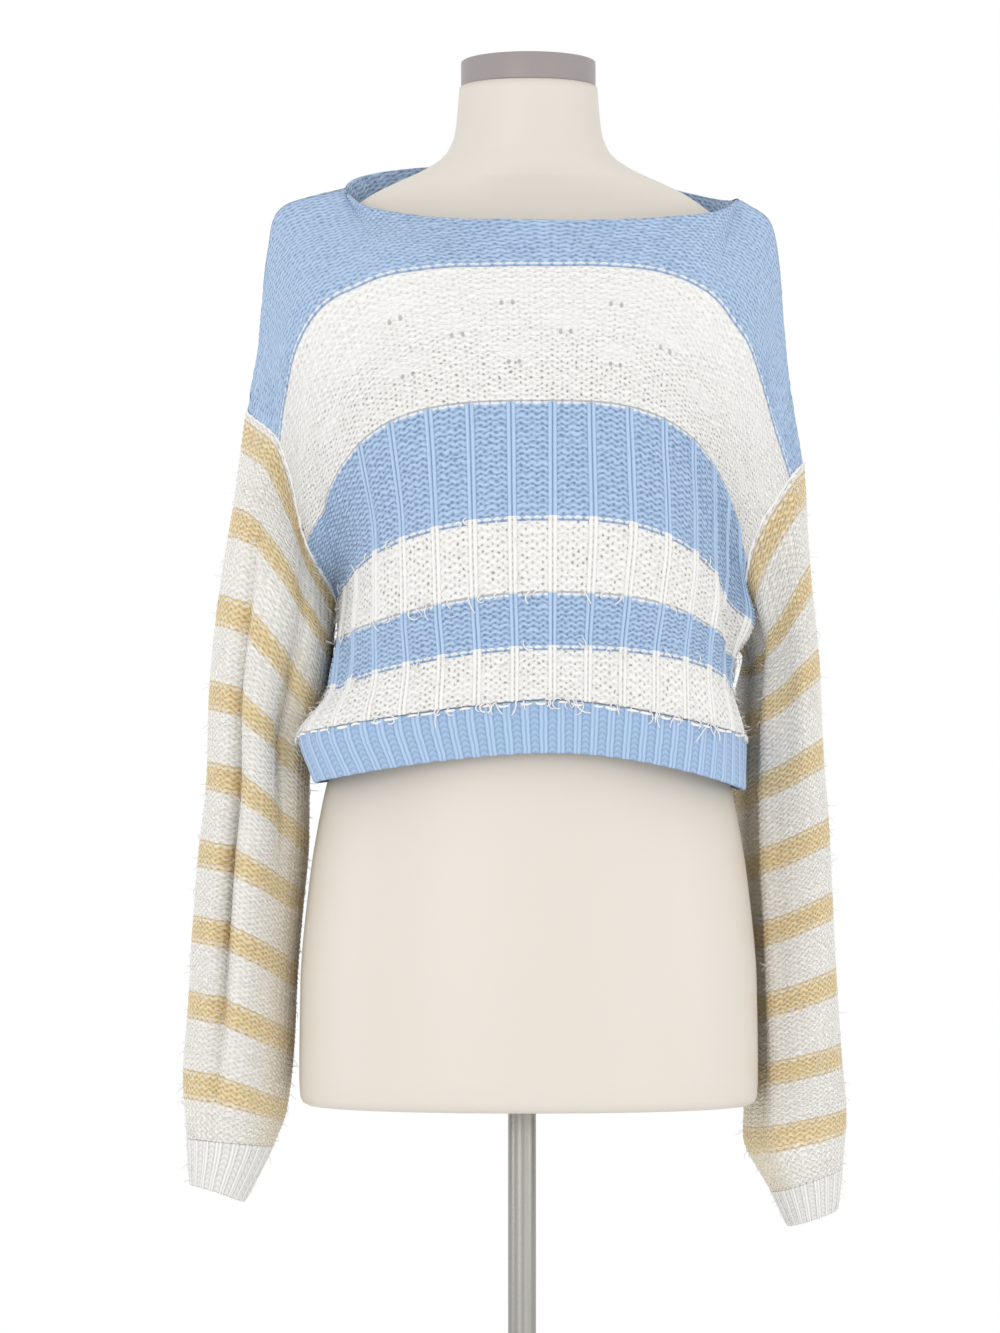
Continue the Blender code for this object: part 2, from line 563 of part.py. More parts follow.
def main():
    clear_scene()
    collection = bpy.data.collections.new("knit_sweater_on_form")
    bpy.context.scene.collection.children.link(collection)
    for panel in ("front", "back"):
        body_panel(collection, panel, material(panel + " banded knit", (0.42, 0.54, 0.74), 0.9))
        hem_rib(collection, panel, material(panel + " hem knit", (0.38, 0.54, 0.76), 0.9))
    for side in ("left", "right"):
        sleeve(collection, side, material(side + " sleeve knit", (0.80, 0.78, 0.70), 0.9))
        cuff(collection, side, material(side + " cuff knit", (0.80, 0.78, 0.74), 0.9))
    form_torso(collection, material("form cover", (0.72, 0.68, 0.61), 0.8))
    form_top = FORM_SECTIONS[-1][0]
    cap_low = form_top + SEAM_GAP
    cap_look = material("cap grey", (0.36, 0.33, 0.33), 0.5)
    turned(collection, "neck_cap", CAP_RADIUS, cap_low, cap_low + CAP_HEIGHT, 0.001, 32, FORM_MIDDLE_X, cap_look)
    pole_low = BASE_THICKNESS + SEAM_GAP
    pole_high = FORM_SECTIONS[0][0] - SEAM_GAP
    pole_look = material("pole steel", (0.45, 0.45, 0.42), 0.3)
    turned(collection, "pole", POLE_RADIUS, pole_low, pole_high, 0.0005, 24, 0, pole_look)
    base_look = material("base steel", (0.45, 0.45, 0.42), 0.4)
    turned(collection, "base_plate", BASE_RADIUS, 0, BASE_THICKNESS, 0.0015, 48, 0, base_look)


main()
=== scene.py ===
"""Looks of the cropped knit sweater on its dress form: knitted walls, loose yarn, smooth form and lights.

Metres, +Z up, the front faces -Y. Left and right are those of someone who looks at the front: left is -X.
"""

import math

import bpy
import numpy as np
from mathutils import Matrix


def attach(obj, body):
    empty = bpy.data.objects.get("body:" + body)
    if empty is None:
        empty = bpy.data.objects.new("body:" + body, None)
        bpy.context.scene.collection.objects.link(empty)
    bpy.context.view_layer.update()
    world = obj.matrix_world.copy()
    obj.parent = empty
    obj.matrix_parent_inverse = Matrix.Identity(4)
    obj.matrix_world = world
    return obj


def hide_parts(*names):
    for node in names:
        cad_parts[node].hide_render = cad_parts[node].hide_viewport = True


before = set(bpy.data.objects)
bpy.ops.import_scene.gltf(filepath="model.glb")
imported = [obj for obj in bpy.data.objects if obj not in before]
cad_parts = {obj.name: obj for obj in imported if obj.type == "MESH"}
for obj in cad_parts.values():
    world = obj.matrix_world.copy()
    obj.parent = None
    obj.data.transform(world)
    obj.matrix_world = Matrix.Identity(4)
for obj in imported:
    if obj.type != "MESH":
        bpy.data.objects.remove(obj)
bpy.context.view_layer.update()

# Which way a panel faces along y and a sleeve along x, and what the second of a pair adds to a seed.
FACING = {"front": -1, "back": 1}
OUTWARD = {"left": -1, "right": 1}
SECOND = {"front": 0, "back": 1, "left": 0, "right": 1}

# Cloth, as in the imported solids.
WALL = 0.0022
SEAM_GAP = 0.0003
SLEEVE_OUT = 0.0010
SLEEVE_DOWN = 0.0005
HEM_SEAM = 0.0011
BODY_MIDDLE_X = 0.022
NECK_SHARE = 0.44
NECK_CORNER = 2.5
BODY_RIB_PITCH = 1 / 8.25
HEM_RIBS = 34
CUFF_RIBS = 20
ARMHOLE_STEPS = 14

NECK_POINT = {
    "left": (-0.136, 0.0, 1.533, 0.014, 0),
    "right": (0.166, -0.004, 1.525, 0.018, 1.35),
}

# Courses of the body from neckline to hem, as shares t of the panel's length, and their middles.
#    t      front_y  front_z  back_y  back_z
MIDDLES = (
    (0.000, -0.078, 1.4986, 0.068, 1.562),  # neck
    (0.108, -0.103, 1.4600, 0.103, 1.480),  # yoke
    (0.368, -0.135, 1.3560, 0.113, 1.370),  # bust
    (0.584, -0.140, 1.2670, 0.112, 1.275),  # arms
    (0.712, -0.137, 1.2140, 0.112, 1.217),  # rise
    (0.815, -0.133, 1.1715, 0.113, 1.174),  # band
    (0.904, -0.130, 1.1346, 0.116, 1.136),  # ribs
    (1.000, -0.121, 1.0956, 0.118, 1.098),  # edge
)
LEVELS = [row[0] for row in MIDDLES]
T_UNDERARM = LEVELS[3]
T_HEM_RIB = LEVELS[6]

# Ends of the same courses at the armhole, and below the underarm at the side seam.
#         x        z       front_y back_y corner flare  droop
ENDS = {
    "left": (
        (-0.2115, 1.3594, 0.000, 0.000, 8.0, 0.0140, 0),
        (-0.1840, 1.3320, -0.045, 0.045, 3.6, 0.0100, 0),
        (-0.1640, 1.2570, -0.050, 0.050, 3.3, 0.0280, 0),
        (-0.1415, 1.2080, -0.005, -0.005, 2.3, 0.0080, 0),
        (-0.1410, 1.1830, -0.005, -0.005, 2.3, 0.0000, 2.0),
        (-0.1480, 1.1430, -0.022, -0.022, 2.3, 0.0000, 2.0),
        (-0.1685, 1.1105, -0.045, -0.045, 2.5, 0.0000, 1.4),
        (-0.1570, 1.0740, -0.050, -0.050, 2.5, 0.0000, 1.65),
    ),
    "right": (
        (0.2162, 1.3202, 0.000, 0.000, 8.0, 0.0170, 0),
        (0.2040, 1.3060, -0.035, 0.045, 3.6, 0.0300, 0),
        (0.1710, 1.2420, -0.042, 0.048, 2.8, 0.0180, 0),
        (0.1660, 1.1780, 0.000, 0.000, 2.6, 0.0100, 0),
        (0.1600, 1.1550, 0.000, 0.000, 2.4, 0.0000, 0),
        (0.1610, 1.1360, -0.010, -0.010, 2.4, 0.0000, 0),
        (0.1690, 1.1090, -0.018, -0.018, 2.5, 0.0000, 1.5),
        (0.1700, 1.0686, -0.022, -0.022, 2.5, 0.0000, 1.75),
    ),
}

# Folds of the body, as soft troughs and ridges: push is outward, lean moves the fold's a along t.
#    panel    a      a_width  t      t_width  lean   push
BODY_FOLDS = (
    ("front", 0.890, 0.075, 0.560, 0.115, 0.00, 0.0160),
    ("front", -0.880, 0.060, 0.770, 0.060, 0.00, 0.0040),
    ("front", 0.760, 0.030, 0.680, 0.090, 0.35, -0.0060),
    ("front", 0.640, 0.045, 0.700, 0.100, 0.35, 0.0030),
    ("front", -0.800, 0.050, 0.780, 0.060, -0.30, -0.0040),
    ("front", -0.500, 0.050, 0.150, 0.110, 0.20, -0.0030),
    ("front", 0.520, 0.050, 0.160, 0.110, -0.20, -0.0030),
    ("front", -0.880, 0.050, 0.380, 0.070, 0.15, -0.0040),
    ("back", -0.880, 0.070, 0.770, 0.060, 0.00, 0.0060),
    ("back", -0.800, 0.110, 0.900, 0.060, 0.00, -0.0080),
    ("back", -0.750, 0.120, 1.000, 0.050, 0.00, 0.0045),
    ("back", -0.450, 0.060, 0.800, 0.120, 0.30, -0.0045),
    ("back", 0.400, 0.060, 0.760, 0.140, -0.30, -0.0045),
    ("back", 0.780, 0.050, 0.500, 0.090, 0.10, 0.0040),
    ("back", -0.780, 0.050, 0.470, 0.090, -0.10, 0.0040),
    ("back", 0.050, 0.070, 0.600, 0.160, 0.10, -0.0035),
)

# Rings of the sleeves below the armhole, at distance q down the knitted tube. The last two bound the cuff.
# yaw is the y of the inner side minus that of the outer.
#         q      x_out    z_out   x_in     z_in    y_front y_back yaw
RINGS = {
    "left": (
        (0.075, -0.2231, 1.2732, -0.1480, 1.1763, -0.062, 0.060, 0.004),
        (0.135, -0.2338, 1.2063, -0.1560, 1.1255, -0.050, 0.072, 0.010),
        (0.195, -0.2400, 1.1417, -0.1650, 1.0809, -0.040, 0.078, 0.014),
        (0.255, -0.2423, 1.0802, -0.1660, 1.0286, -0.035, 0.078, 0.014),
        (0.315, -0.2485, 1.0209, -0.1700, 0.9830, -0.032, 0.078, 0.014),
        (0.375, -0.2525, 0.9632, -0.1740, 0.9280, -0.031, 0.078, 0.014),
        (0.435, -0.2560, 0.9055, -0.1765, 0.8750, -0.030, 0.077, 0.012),
        (0.495, -0.2605, 0.8455, -0.1823, 0.8230, -0.027, 0.073, 0.008),
        (0.535, -0.2577, 0.8010, -0.1923, 0.7950, -0.015, 0.060, 0.004),
        (0.572, -0.2554, 0.7648, -0.2140, 0.7517, -0.005, 0.048, 0.002),
    ),
    "right": (
        (0.075, 0.2215, 1.2309, 0.1780, 1.1610, -0.042, 0.085, 0.030),
        (0.135, 0.2277, 1.1663, 0.1740, 1.1180, -0.034, 0.097, 0.050),
        (0.195, 0.2308, 1.0978, 0.1720, 1.0630, -0.024, 0.108, 0.060),
        (0.255, 0.2362, 1.0378, 0.1720, 1.0070, -0.018, 0.113, 0.060),
        (0.315, 0.2392, 0.9817, 0.1750, 0.9520, -0.014, 0.116, 0.050),
        (0.375, 0.2423, 0.9225, 0.1760, 0.8990, -0.010, 0.118, 0.036),
        (0.435, 0.2469, 0.8648, 0.1760, 0.8480, -0.006, 0.118, 0.024),
        (0.495, 0.2515, 0.8148, 0.1740, 0.7990, 0.000, 0.114, 0.014),
        (0.535, 0.2485, 0.7760, 0.1946, 0.7570, 0.016, 0.092, 0.006),
        (0.572, 0.2450, 0.7430, 0.2070, 0.7302, 0.028, 0.078, 0.002),
    ),
}
RING_CORNER = 2.25
RING_FALL = {"left": 1.7, "right": 1.0}  # power by which a ring falls from its outer to its inner side
Q_CUFF = 0.535
Q_END = 0.572

# Spans of (a, t) on a panel, and of (phi, q) on a sleeve, whose phi goes round freely.
BODY_SPANS = ((-1, 1), (0, 1))
SLEEVE_SPANS = ((-10, 10), (0, Q_END))
STEP_SHARE = 0.002  # small step along a surface, as a share of its span

# Long folds of the sleeves. phi is 0 on the outer side, 90 in front, 180 by the body and 270 in the back.
#    sleeve   phi   phi_width  q      q_width  lean (degrees a metre)  push
SLEEVE_FOLDS = (
    ("left", 70, 9, 0.330, 0.160, 20, -0.0200),
    ("left", 67, 8, 0.120, 0.070, 0, -0.0060),
    ("left", 122, 10, 0.170, 0.090, 20, -0.0120),
    ("left", 96, 12, 0.240, 0.180, 0, 0.0040),
    ("left", 215, 24, 0.115, 0.080, 0, 0.0070),
    ("left", 250, 12, 0.260, 0.120, 20, -0.0070),
    ("left", 300, 12, 0.420, 0.090, -20, -0.0050),
    ("right", 116, 9, 0.270, 0.260, 0, 0.0050),
    ("right", 138, 9, 0.270, 0.260, 0, -0.0080),
    ("right", 90, 14, 0.140, 0.070, 0, -0.0030),
    ("right", 212, 24, 0.165, 0.110, 0, 0.0160),
    ("right", 240, 12, 0.300, 0.120, 20, -0.0070),
    ("right", 290, 12, 0.180, 0.090, -30, -0.0050),
)

# Dress form.
FORM_MIDDLE_X = 0.005
#    z      half_width  front   back
FORM_SECTIONS = (
    (0.8280, 0.1690, 0.1085, 0.1030),
    (0.8300, 0.1730, 0.1120, 0.1080),
    (0.8350, 0.1750, 0.1140, 0.1120),
    (0.8500, 0.1758, 0.1150, 0.1180),
    (0.9200, 0.1750, 0.1150, 0.1250),
    (1.0000, 0.1680, 0.1130, 0.1150),
    (1.0600, 0.1580, 0.1080, 0.1070),
    (1.1000, 0.1480, 0.1030, 0.0980),
    (1.1400, 0.1380, 0.0980, 0.0850),
    (1.1800, 0.1310, 0.0950, 0.0750),
    (1.2200, 0.1320, 0.0980, 0.0780),
    (1.2700, 0.1400, 0.1080, 0.0900),
    (1.3200, 0.1500, 0.1200, 0.0970),
    (1.3600, 0.1560, 0.1200, 0.1000),
    (1.4000, 0.1580, 0.1080, 0.1000),
    (1.4400, 0.1640, 0.0920, 0.0960),
    (1.4700, 0.1680, 0.0740, 0.0820),
    (1.4900, 0.1620, 0.0600, 0.0690),
    (1.5050, 0.1500, 0.0510, 0.0590),
    (1.5180, 0.1350, 0.0480, 0.0540),
    (1.5280, 0.1200, 0.0490, 0.0540),
    (1.5370, 0.1010, 0.0510, 0.0560),
    (1.5460, 0.0810, 0.0520, 0.0560),
    (1.5590, 0.0635, 0.0500, 0.0520),
    (1.5760, 0.0566, 0.0505, 0.0510),
    (1.6100, 0.0533, 0.0525, 0.0525),
)
FORM_CORNER = 2.15
FORM_ROWS = 140
FORM_COLUMNS = 128
CAP_HEIGHT = 0.0205
CAP_RADIUS = 0.0520
POLE_RADIUS = 0.01075
BASE_RADIUS = 0.165
BASE_THICKNESS = 0.008

# Stitches.
STITCHES_A_PERIOD = 4  # across the body, between the middles of two ribs
RIB_SHARE = 0.112  # half a rib, as a share of its period
# Course at each of the first seven rows of MIDDLES. The colour changes there.
COURSES = (0, 10, 35, 55, 65, 75, 83)
YOKE_END, BUST_TOP, BUST_END, WAIST_TOP, WAIST_END, HEM_TOP = COURSES[1:]
SAMPLES_A_COURSE = 4
SAMPLES_A_RIB = 8  # in hem and cuffs
INNER_POINTS = 41  # along each side of a panel's inside
PURL_WAVE = 0.2  # how far a row waves, in courses
SLEEVE_WAVE = 0.26
PLAIN_FLANK = -0.66  # the front's bust band has no ribs at a below this
COURSE_HEIGHT = 0.0043
SLEEVE_COURSE = 0.0043
SLEEVE_STITCHES = 44
STRIPE_START = 0.94  # first course of the first sleeve stripe
STRIPE_COURSES = 5
STRIPE_PERIOD = 14
HEM_COURSES = 9
CUFF_COURSES = 9
# Heights of the relief: purl rows, raised columns and broad lumps.
PURL = 0.0010
WHITE_PURL = 0.0007
BODY_WALE = 0.0015
HEM_WALE = 0.0016
CUFF_WALE = 0.0013
LUMPS = 0.0006

EYELET_ROWS = ((17.0, 6.0), (22.5, 1.3), (28.0, 6.4))  # course, and the stitch of one pair in that row
EYELET_SPACING = 10.0  # stitches between pairs
EYELET_REACH = 14.5  # stitches from the body's middle to the last pair
EYELET_HALF = (0.19, 0.48)  # half a hole, in stitches and courses
EYELET_SMOOTH_HALF = (2.3, 1.8)  # half the smooth place
EYELET_SMOOTH_ABOVE = 2.1  # courses from the holes up to the middle of the smooth place
SLEEVE_FIBRES = 950
BODY_FIBRES = 420
FIBRE_STEPS = 4
ARMHOLE_POINTS = 300
ARMHOLE_ENDS = 170
# Yarn ends of the front that hang from a colour change: course, a, length and how far they turn.
LOOSE_ENDS = (
    (55, -0.17, 0.009, 0.6),
    (55, -0.90, 0.016, -4.5),
    (55, 0.93, 0.013, 3.8),
    (65, -0.50, 0.010, 3.6),
    (65, -0.46, 0.014, 2.6),
    (65, -0.40, 0.013, -4.4),
    (65, -0.26, 0.013, 0.5),
    (65, -0.07, 0.011, 2.0),
    (65, 0.90, 0.014, -3.9),
    (65, 0.96, 0.015, 3.2),
    (75, -0.44, 0.016, 1.0),
    (75, -0.36, 0.009, -3.0),
    (75, 0.20, 0.008, 3.0),
    (75, 0.42, 0.009, -1.0),
    (83, -0.52, 0.012, -4.0),
    (83, -0.36, 0.015, 1.0),
    (83, -0.33, 0.010, 3.4),
    (83, -0.22, 0.015, -4.2),
    (83, 0.01, 0.014, 3.8),
    (83, 0.03, 0.017, 4.4),
    (83, 0.05, 0.012, -3.6),
    (83, 0.08, 0.016, 1.6),
    (83, 0.10, 0.014, -2.2),
    (83, 0.37, 0.012, 1.2),
    (83, 0.44, 0.010, -3.0),
    (83, 0.58, 0.020, 0.4),
    (83, 0.60, 0.014, -0.8),
)

# Seeds of what is random. The second of a pair takes the next one.
SEED_SLOW_SHAKE = 3
SEED_QUICK_SHAKE = 4
SEED_BODY_LUMPS = 5
SEED_HEM_LUMPS = 8
SEED_SLEEVE_SHAKE = 11
SEED_SLEEVE_SPOTS = 21
SEED_BODY_SPOTS = 23
SEED_LOOSE_ENDS = 25
SEED_ARMHOLE = 27
SEED_HEM_YARN = 29
SEED_SLEEVE_FIBRES = 31
SEED_BODY_FIBRES = 32
WOBBLES = ((41, 9.0), (42, 7.0), (43, 5.0))  # of the armhole's yarn: seed and reach of its place, x and size

LAMP_GAIN = 1.15  # light on a surface that faces the lamps, in units of the white surroundings
FLOOR_Z = -0.0002
CAMERA_PLACE = (-0.0169, -3.4, 1.054)
CAMERA_TILT = 1.847  # degrees up from level
CAMERA_LENS = 119.4


def smooth(knots, values, at):
    """Cubic without overshoot through rows of values, one a knot. at is shaped like values[0, ..., 0]."""
    knots = np.asarray(knots, float)
    step = np.diff(knots)
    rise = np.diff(values, axis=0) / step.reshape((-1,) + (1,) * (values.ndim - 1))
    before, after = rise[:-1], rise[1:]
    total = np.where(before + after == 0, 1, before + after)
    slope = np.concatenate([rise[:1], np.where(before * after > 0, 2 * before * after / total, 0), rise[-1:]])
    row = np.clip(np.searchsorted(knots, at, side="right") - 1, 0, len(knots) - 2)
    share = ((at - knots[row]) / step[row])[..., None]
    width = step[row][..., None]

    def taken(table, index):
        return np.take_along_axis(table, index[None, ..., None], axis=0)[0]

    start, end = taken(values, row), taken(values, row + 1)
    slope_in, slope_out = taken(slope, row) * width, taken(slope, row + 1) * width
    square, cube = share**2, share**3
    return (
        (2 * cube - 3 * square + 1) * start
        + (cube - 2 * square + share) * slope_in
        + (3 * square - 2 * cube) * end
        + (cube - square) * slope_out
    )


def turn_angles(count):
    return np.arange(count) * 2 * math.pi / count


def blunt(angle, corner):
    """Cosine and sine of a superellipse."""
    c, s = np.cos(angle), np.sin(angle)
    return np.sign(c) * np.abs(c) ** (2 / corner), np.sign(s) * np.abs(s) ** (2 / corner)


def quarter(corner):
    """Superellipse's across and up shares, from its middle to its end."""
    angle = np.linspace(math.pi / 2, 0, 160)
    return np.cos(angle).clip(0) ** (2 / corner), np.sin(angle).clip(0) ** (2 / corner)


def travelled(lines):
    """Distance from the start at each point of one or more lines."""
    steps = np.linalg.norm(np.diff(lines, axis=-2), axis=-1)
    return np.concatenate([np.zeros(steps.shape[:-1] + (1,)), np.cumsum(steps, axis=-1)], axis=-1)


def along(line, share):
    """Points at shares of the line's length."""
    far = travelled(line)
    return np.stack([np.interp(share * far[-1], far, line[:, i]) for i in range(3)], axis=-1)


def half_course(panel, side, row, share):
    """Points of half a course, from the body's middle (share 0) to its armhole or side seam (share 1)."""
    _, front_y, front_z, back_y, back_z = MIDDLES[row]
    middle_y, middle_z = (front_y, front_z) if panel == "front" else (back_y, back_z)
    end_x, end_z, front_end_y, back_end_y, corner, flare, droop = ENDS[side][row]
    end_y = front_end_y if panel == "front" else back_end_y
    flare *= OUTWARD[side]
    across, up = quarter(corner)
    kick = flare * (1 - up) ** 2
    if row > 0:
        x = BODY_MIDDLE_X + (end_x - BODY_MIDDLE_X - flare) * across + kick
        up_z = 1 - across**droop if droop else up
        z = end_z + (middle_z - end_z) * up_z
        return along(np.stack([x, end_y + (middle_y - end_y) * up, z], axis=-1), share)
    neck_x, neck_y, neck_z, sag, back_droop = NECK_POINT[side]
    ridge_x = neck_x + (end_x - neck_x - flare) * across + kick
    ridge_z = end_z + (neck_z - end_z) * up - sag * across * up
    ridge = np.stack([ridge_x, neck_y + (end_y - neck_y) * (1 - up), ridge_z], axis=-1)
    across, up = quarter(NECK_CORNER)
    up_z = 1 - across**back_droop if back_droop and panel == "back" else up
    neckline_x = BODY_MIDDLE_X + (neck_x - BODY_MIDDLE_X) * across
    neckline_z = neck_z + (middle_z - neck_z) * up_z
    neckline = np.stack([neckline_x, neck_y + (middle_y - neck_y) * up, neckline_z], axis=-1)
    on_neck = along(neckline, np.clip(share / NECK_SHARE, 0, 1))
    on_ridge = along(ridge, np.clip((share - NECK_SHARE) / (1 - NECK_SHARE), 0, 1))
    return np.where((share <= NECK_SHARE)[..., None], on_neck, on_ridge)


def plain_body(panel, a, t):
    """Body without its folds. a runs from -1 on the left to 1 on the right, t down from neck to hem."""
    rows = []
    for row in range(len(MIDDLES)):
        left = half_course(panel, "left", row, np.abs(a))
        right = half_course(panel, "right", row, np.abs(a))
        rows.append(np.where((a < 0)[..., None], left, right))
    return smooth(LEVELS, np.stack(rows), t)


def normals(surface, u, v, spans, outward):
    """Unit normals by small steps within the spans of u and v."""
    ends = []
    for value, (low, high) in zip((u, v), spans):
        step = STEP_SHARE * (high - low)
        ends += [np.maximum(value - step, low), np.minimum(value + step, high)]
    low_u, high_u, low_v, high_v = ends
    normal = np.cross(surface(high_u, v) - surface(low_u, v), surface(u, high_v) - surface(u, low_v))
    return outward * normal / np.linalg.norm(normal, axis=-1, keepdims=True)


def bump(value, centre, width):
    return np.exp(-(((value - centre) / width) ** 2))


def body_surface(panel):
    """Function of (a, t) for the outer face of the knit, before its ribs."""

    def surface(a, t):
        points = plain_body(panel, a, t)
        facing_out = normals(lambda u, v: plain_body(panel, u, v), a, t, BODY_SPANS, FACING[panel])
        push = np.zeros_like(a)
        for where, centre, width, level, height, lean, amount in BODY_FOLDS:
            if where == panel:
                push += amount * bump(a, centre + lean * (t - level), width) * bump(t, level, height)
        # The folds die out at the seams, so that neighbouring pieces still meet.
        push *= np.clip((1 - np.abs(a)) / 0.12, 0, 1) ** 2 * np.clip(t / 0.06, 0, 1)
        return points + facing_out * push[..., None]

    return surface


def armhole_rows():
    """Values of t at even shares of the left front armhole."""
    fine = np.linspace(0, T_UNDERARM, 200)
    far = travelled(plain_body("front", np.full_like(fine, -1), fine))
    return np.interp(np.linspace(0, far[-1], ARMHOLE_STEPS + 1), far, fine)


def sleeve_surface(side):
    """Function of (phi, q) for the outer face of a sleeve."""
    outward = OUTWARD[side]
    row_shares = np.linspace(0, 1, ARMHOLE_STEPS + 1)
    row_levels = armhole_rows()
    knots = [0.0] + [row[0] for row in RINGS[side]]

    def plain(phi, q):
        phi = np.mod(phi, 2 * math.pi)
        share = np.where(phi <= math.pi, phi, 2 * math.pi - phi) / math.pi
        level = np.interp(share, row_shares, row_levels)
        edge = np.full_like(level, outward)
        front, back = plain_body("front", edge, level), plain_body("back", edge, level)
        armhole = np.where((phi <= math.pi)[..., None], front, back)
        rings = [armhole + np.array([outward * SLEEVE_OUT, 0, -SLEEVE_DOWN])]
        c, s = blunt(phi, RING_CORNER)
        for _, x_out, z_out, x_in, z_in, y_front, y_back, yaw in RINGS[side]:
            x = (x_out + x_in) / 2 + (x_out - x_in) / 2 * c
            y = (y_front + y_back) / 2 - (y_back - y_front) / 2 * s - yaw / 2 * c
            z = z_out + (z_in - z_out) * ((1 - c) / 2) ** RING_FALL[side]
            rings.append(np.stack([x, y, z], axis=-1))
        return smooth(knots, np.stack(rings), q)

    def surface(phi, q):
        points = plain(phi, q)
        facing_out = normals(plain, phi, q, SLEEVE_SPANS, outward)
        push = np.zeros_like(phi)
        for where, centre, width, level, length, lean, amount in SLEEVE_FOLDS:
            if where == side:
                place = np.degrees(phi) % 360 - (centre + lean * (q - level))
                push += amount * bump(place, 0, width) * bump(q, level, length)
        push *= np.clip(q / 0.04, 0, 1) * np.clip((Q_CUFF - q) / 0.05, 0, 1)
        return points + facing_out * push[..., None]

    return surface


def grid_normals(points, outward, closed):
    """Unit normals of a grid of points [u, v], outward where outward says so."""
    if closed:
        padded = np.concatenate([points[-1:], points, points[:1]])
        across = padded[2:] - padded[:-2]
    else:
        across = np.gradient(points, axis=0)
    normal = np.cross(across, np.gradient(points, axis=1))
    length = np.linalg.norm(normal, axis=-1, keepdims=True)
    return outward * normal / np.where(length == 0, 1, length)


def seam_normals(facing_out, a, t):
    """Body normals whose y is 0 where the two panels meet, so that their walls don't cross."""
    on_seam = (np.abs(a) > 0.995) & ((t < 1e-6) | (t > T_UNDERARM - 1e-6))
    on_seam |= (t < 1e-6) & (np.abs(a) > NECK_SHARE - 1e-3)
    facing_out[..., 1] = np.where(on_seam, 0, facing_out[..., 1])
    return facing_out / np.linalg.norm(facing_out, axis=-1, keepdims=True)


def parted(panel, points, a, t):
    """The two panels pulled apart by the seam's gap, in y, along shoulder ridge and side seam."""
    near_side = np.clip((np.abs(a) - 0.9) / 0.1, 0, 1) * np.clip((t - T_UNDERARM + 0.1) / 0.1, 0, 1)
    near_ridge = np.clip((np.abs(a) - NECK_SHARE + 0.05) / 0.05, 0, 1) * np.clip(1 - t / 0.1, 0, 1)
    moved = points.copy()
    moved[..., 1] += FACING[panel] * SEAM_GAP / 2 * np.maximum(near_side, near_ridge)
    return moved


def wander(x, y, seed, reach):
    """Smooth random height from -1 to 1 with waves about as long as reach, in the units of x and y."""
    rng = np.random.default_rng(seed)
    total = np.zeros_like(x)
    for _ in range(7):
        angle, phase = rng.uniform(0, 2 * math.pi, 2)
        length = reach * rng.uniform(0.7, 1.6)
        total += np.sin(2 * math.pi * (x * math.cos(angle) + y * math.sin(angle)) / length + phase)
    return total / 3.5


def swell(value):
    """0 at whole numbers and 1 halfway between."""
    return 0.5 - 0.5 * np.cos(2 * math.pi * value)


def purl(u, v):
    """0 in the grooves between purl rows and 1 on their ridges."""
    return swell(v + PURL_WAVE * np.cos(2 * math.pi * u))


def grid_faces(index, reverse):
    a, b, c, d = index[:-1, :-1], index[1:, :-1], index[1:, 1:], index[:-1, 1:]
    faces = np.concatenate([np.stack([a, b, c], -1).reshape(-1, 3), np.stack([a, c, d], -1).reshape(-1, 3)])
    return faces[:, ::-1] if reverse else faces


def wrapped(count, steps):
    """Point numbers of rings, with each ring's first point again at its end."""
    index = np.arange(count * steps).reshape(count, steps)
    return np.concatenate([index, index[:, :1]], axis=1)


def fan(hub, first, steps, reverse=False):
    """Triangles from a hub to the ring of points that starts at first."""
    here = first + np.arange(steps)
    faces = np.stack([np.full(steps, hub), here, np.roll(here, -1)], -1)
    return faces[:, [0, 2, 1]] if reverse else faces


def inside_out(corners):
    """Whether the volume within triangles [triangle, corner, xyz] is negative."""
    return np.einsum("ij,ij->i", corners[:, 0], np.cross(corners[:, 1], corners[:, 2])).sum() < 0


def zipped(first, first_at, second, second_at):
    """Triangles between two edges whose points have places that rise along them."""
    faces = []
    i, j = 0, 0
    while i < len(first) - 1 or j < len(second) - 1:
        if j == len(second) - 1 or (i < len(first) - 1 and first_at[i + 1] <= second_at[j + 1] + 1e-9):
            faces.append((first[i], second[j], first[i + 1]))
            i += 1
        else:
            faces.append((first[i], second[j], second[j + 1]))
            j += 1
    return np.array(faces)


def mesh_piece(name, points, faces, corner_uv, look, attributes=()):
    """Mesh object from arrays. attributes are (name, one number a point)."""
    mesh = bpy.data.meshes.new(name)
    mesh.vertices.add(len(points))
    mesh.vertices.foreach_set("co", np.ascontiguousarray(points, np.float32).ravel())
    mesh.loops.add(3 * len(faces))
    mesh.loops.foreach_set("vertex_index", np.ascontiguousarray(faces, np.int32).ravel())
    mesh.polygons.add(len(faces))
    mesh.polygons.foreach_set("loop_start", np.arange(len(faces), dtype=np.int32) * 3)
    mesh.polygons.foreach_set("loop_total", np.full(len(faces), 3, np.int32))
    if corner_uv is not None:
        layer = mesh.uv_layers.new(name="knit")
        layer.data.foreach_set("uv", np.ascontiguousarray(corner_uv, np.float32).ravel())
    for label, values in attributes:
        made = mesh.attributes.new(label, "FLOAT", "POINT")
        made.data.foreach_set("value", np.ascontiguousarray(values, np.float32).ravel())
    mesh.update(calc_edges=True)
    mesh.shade_smooth()
    mesh.materials.append(look)
    obj = bpy.data.objects.new(name, mesh)
    bpy.context.scene.collection.objects.link(obj)
    return obj


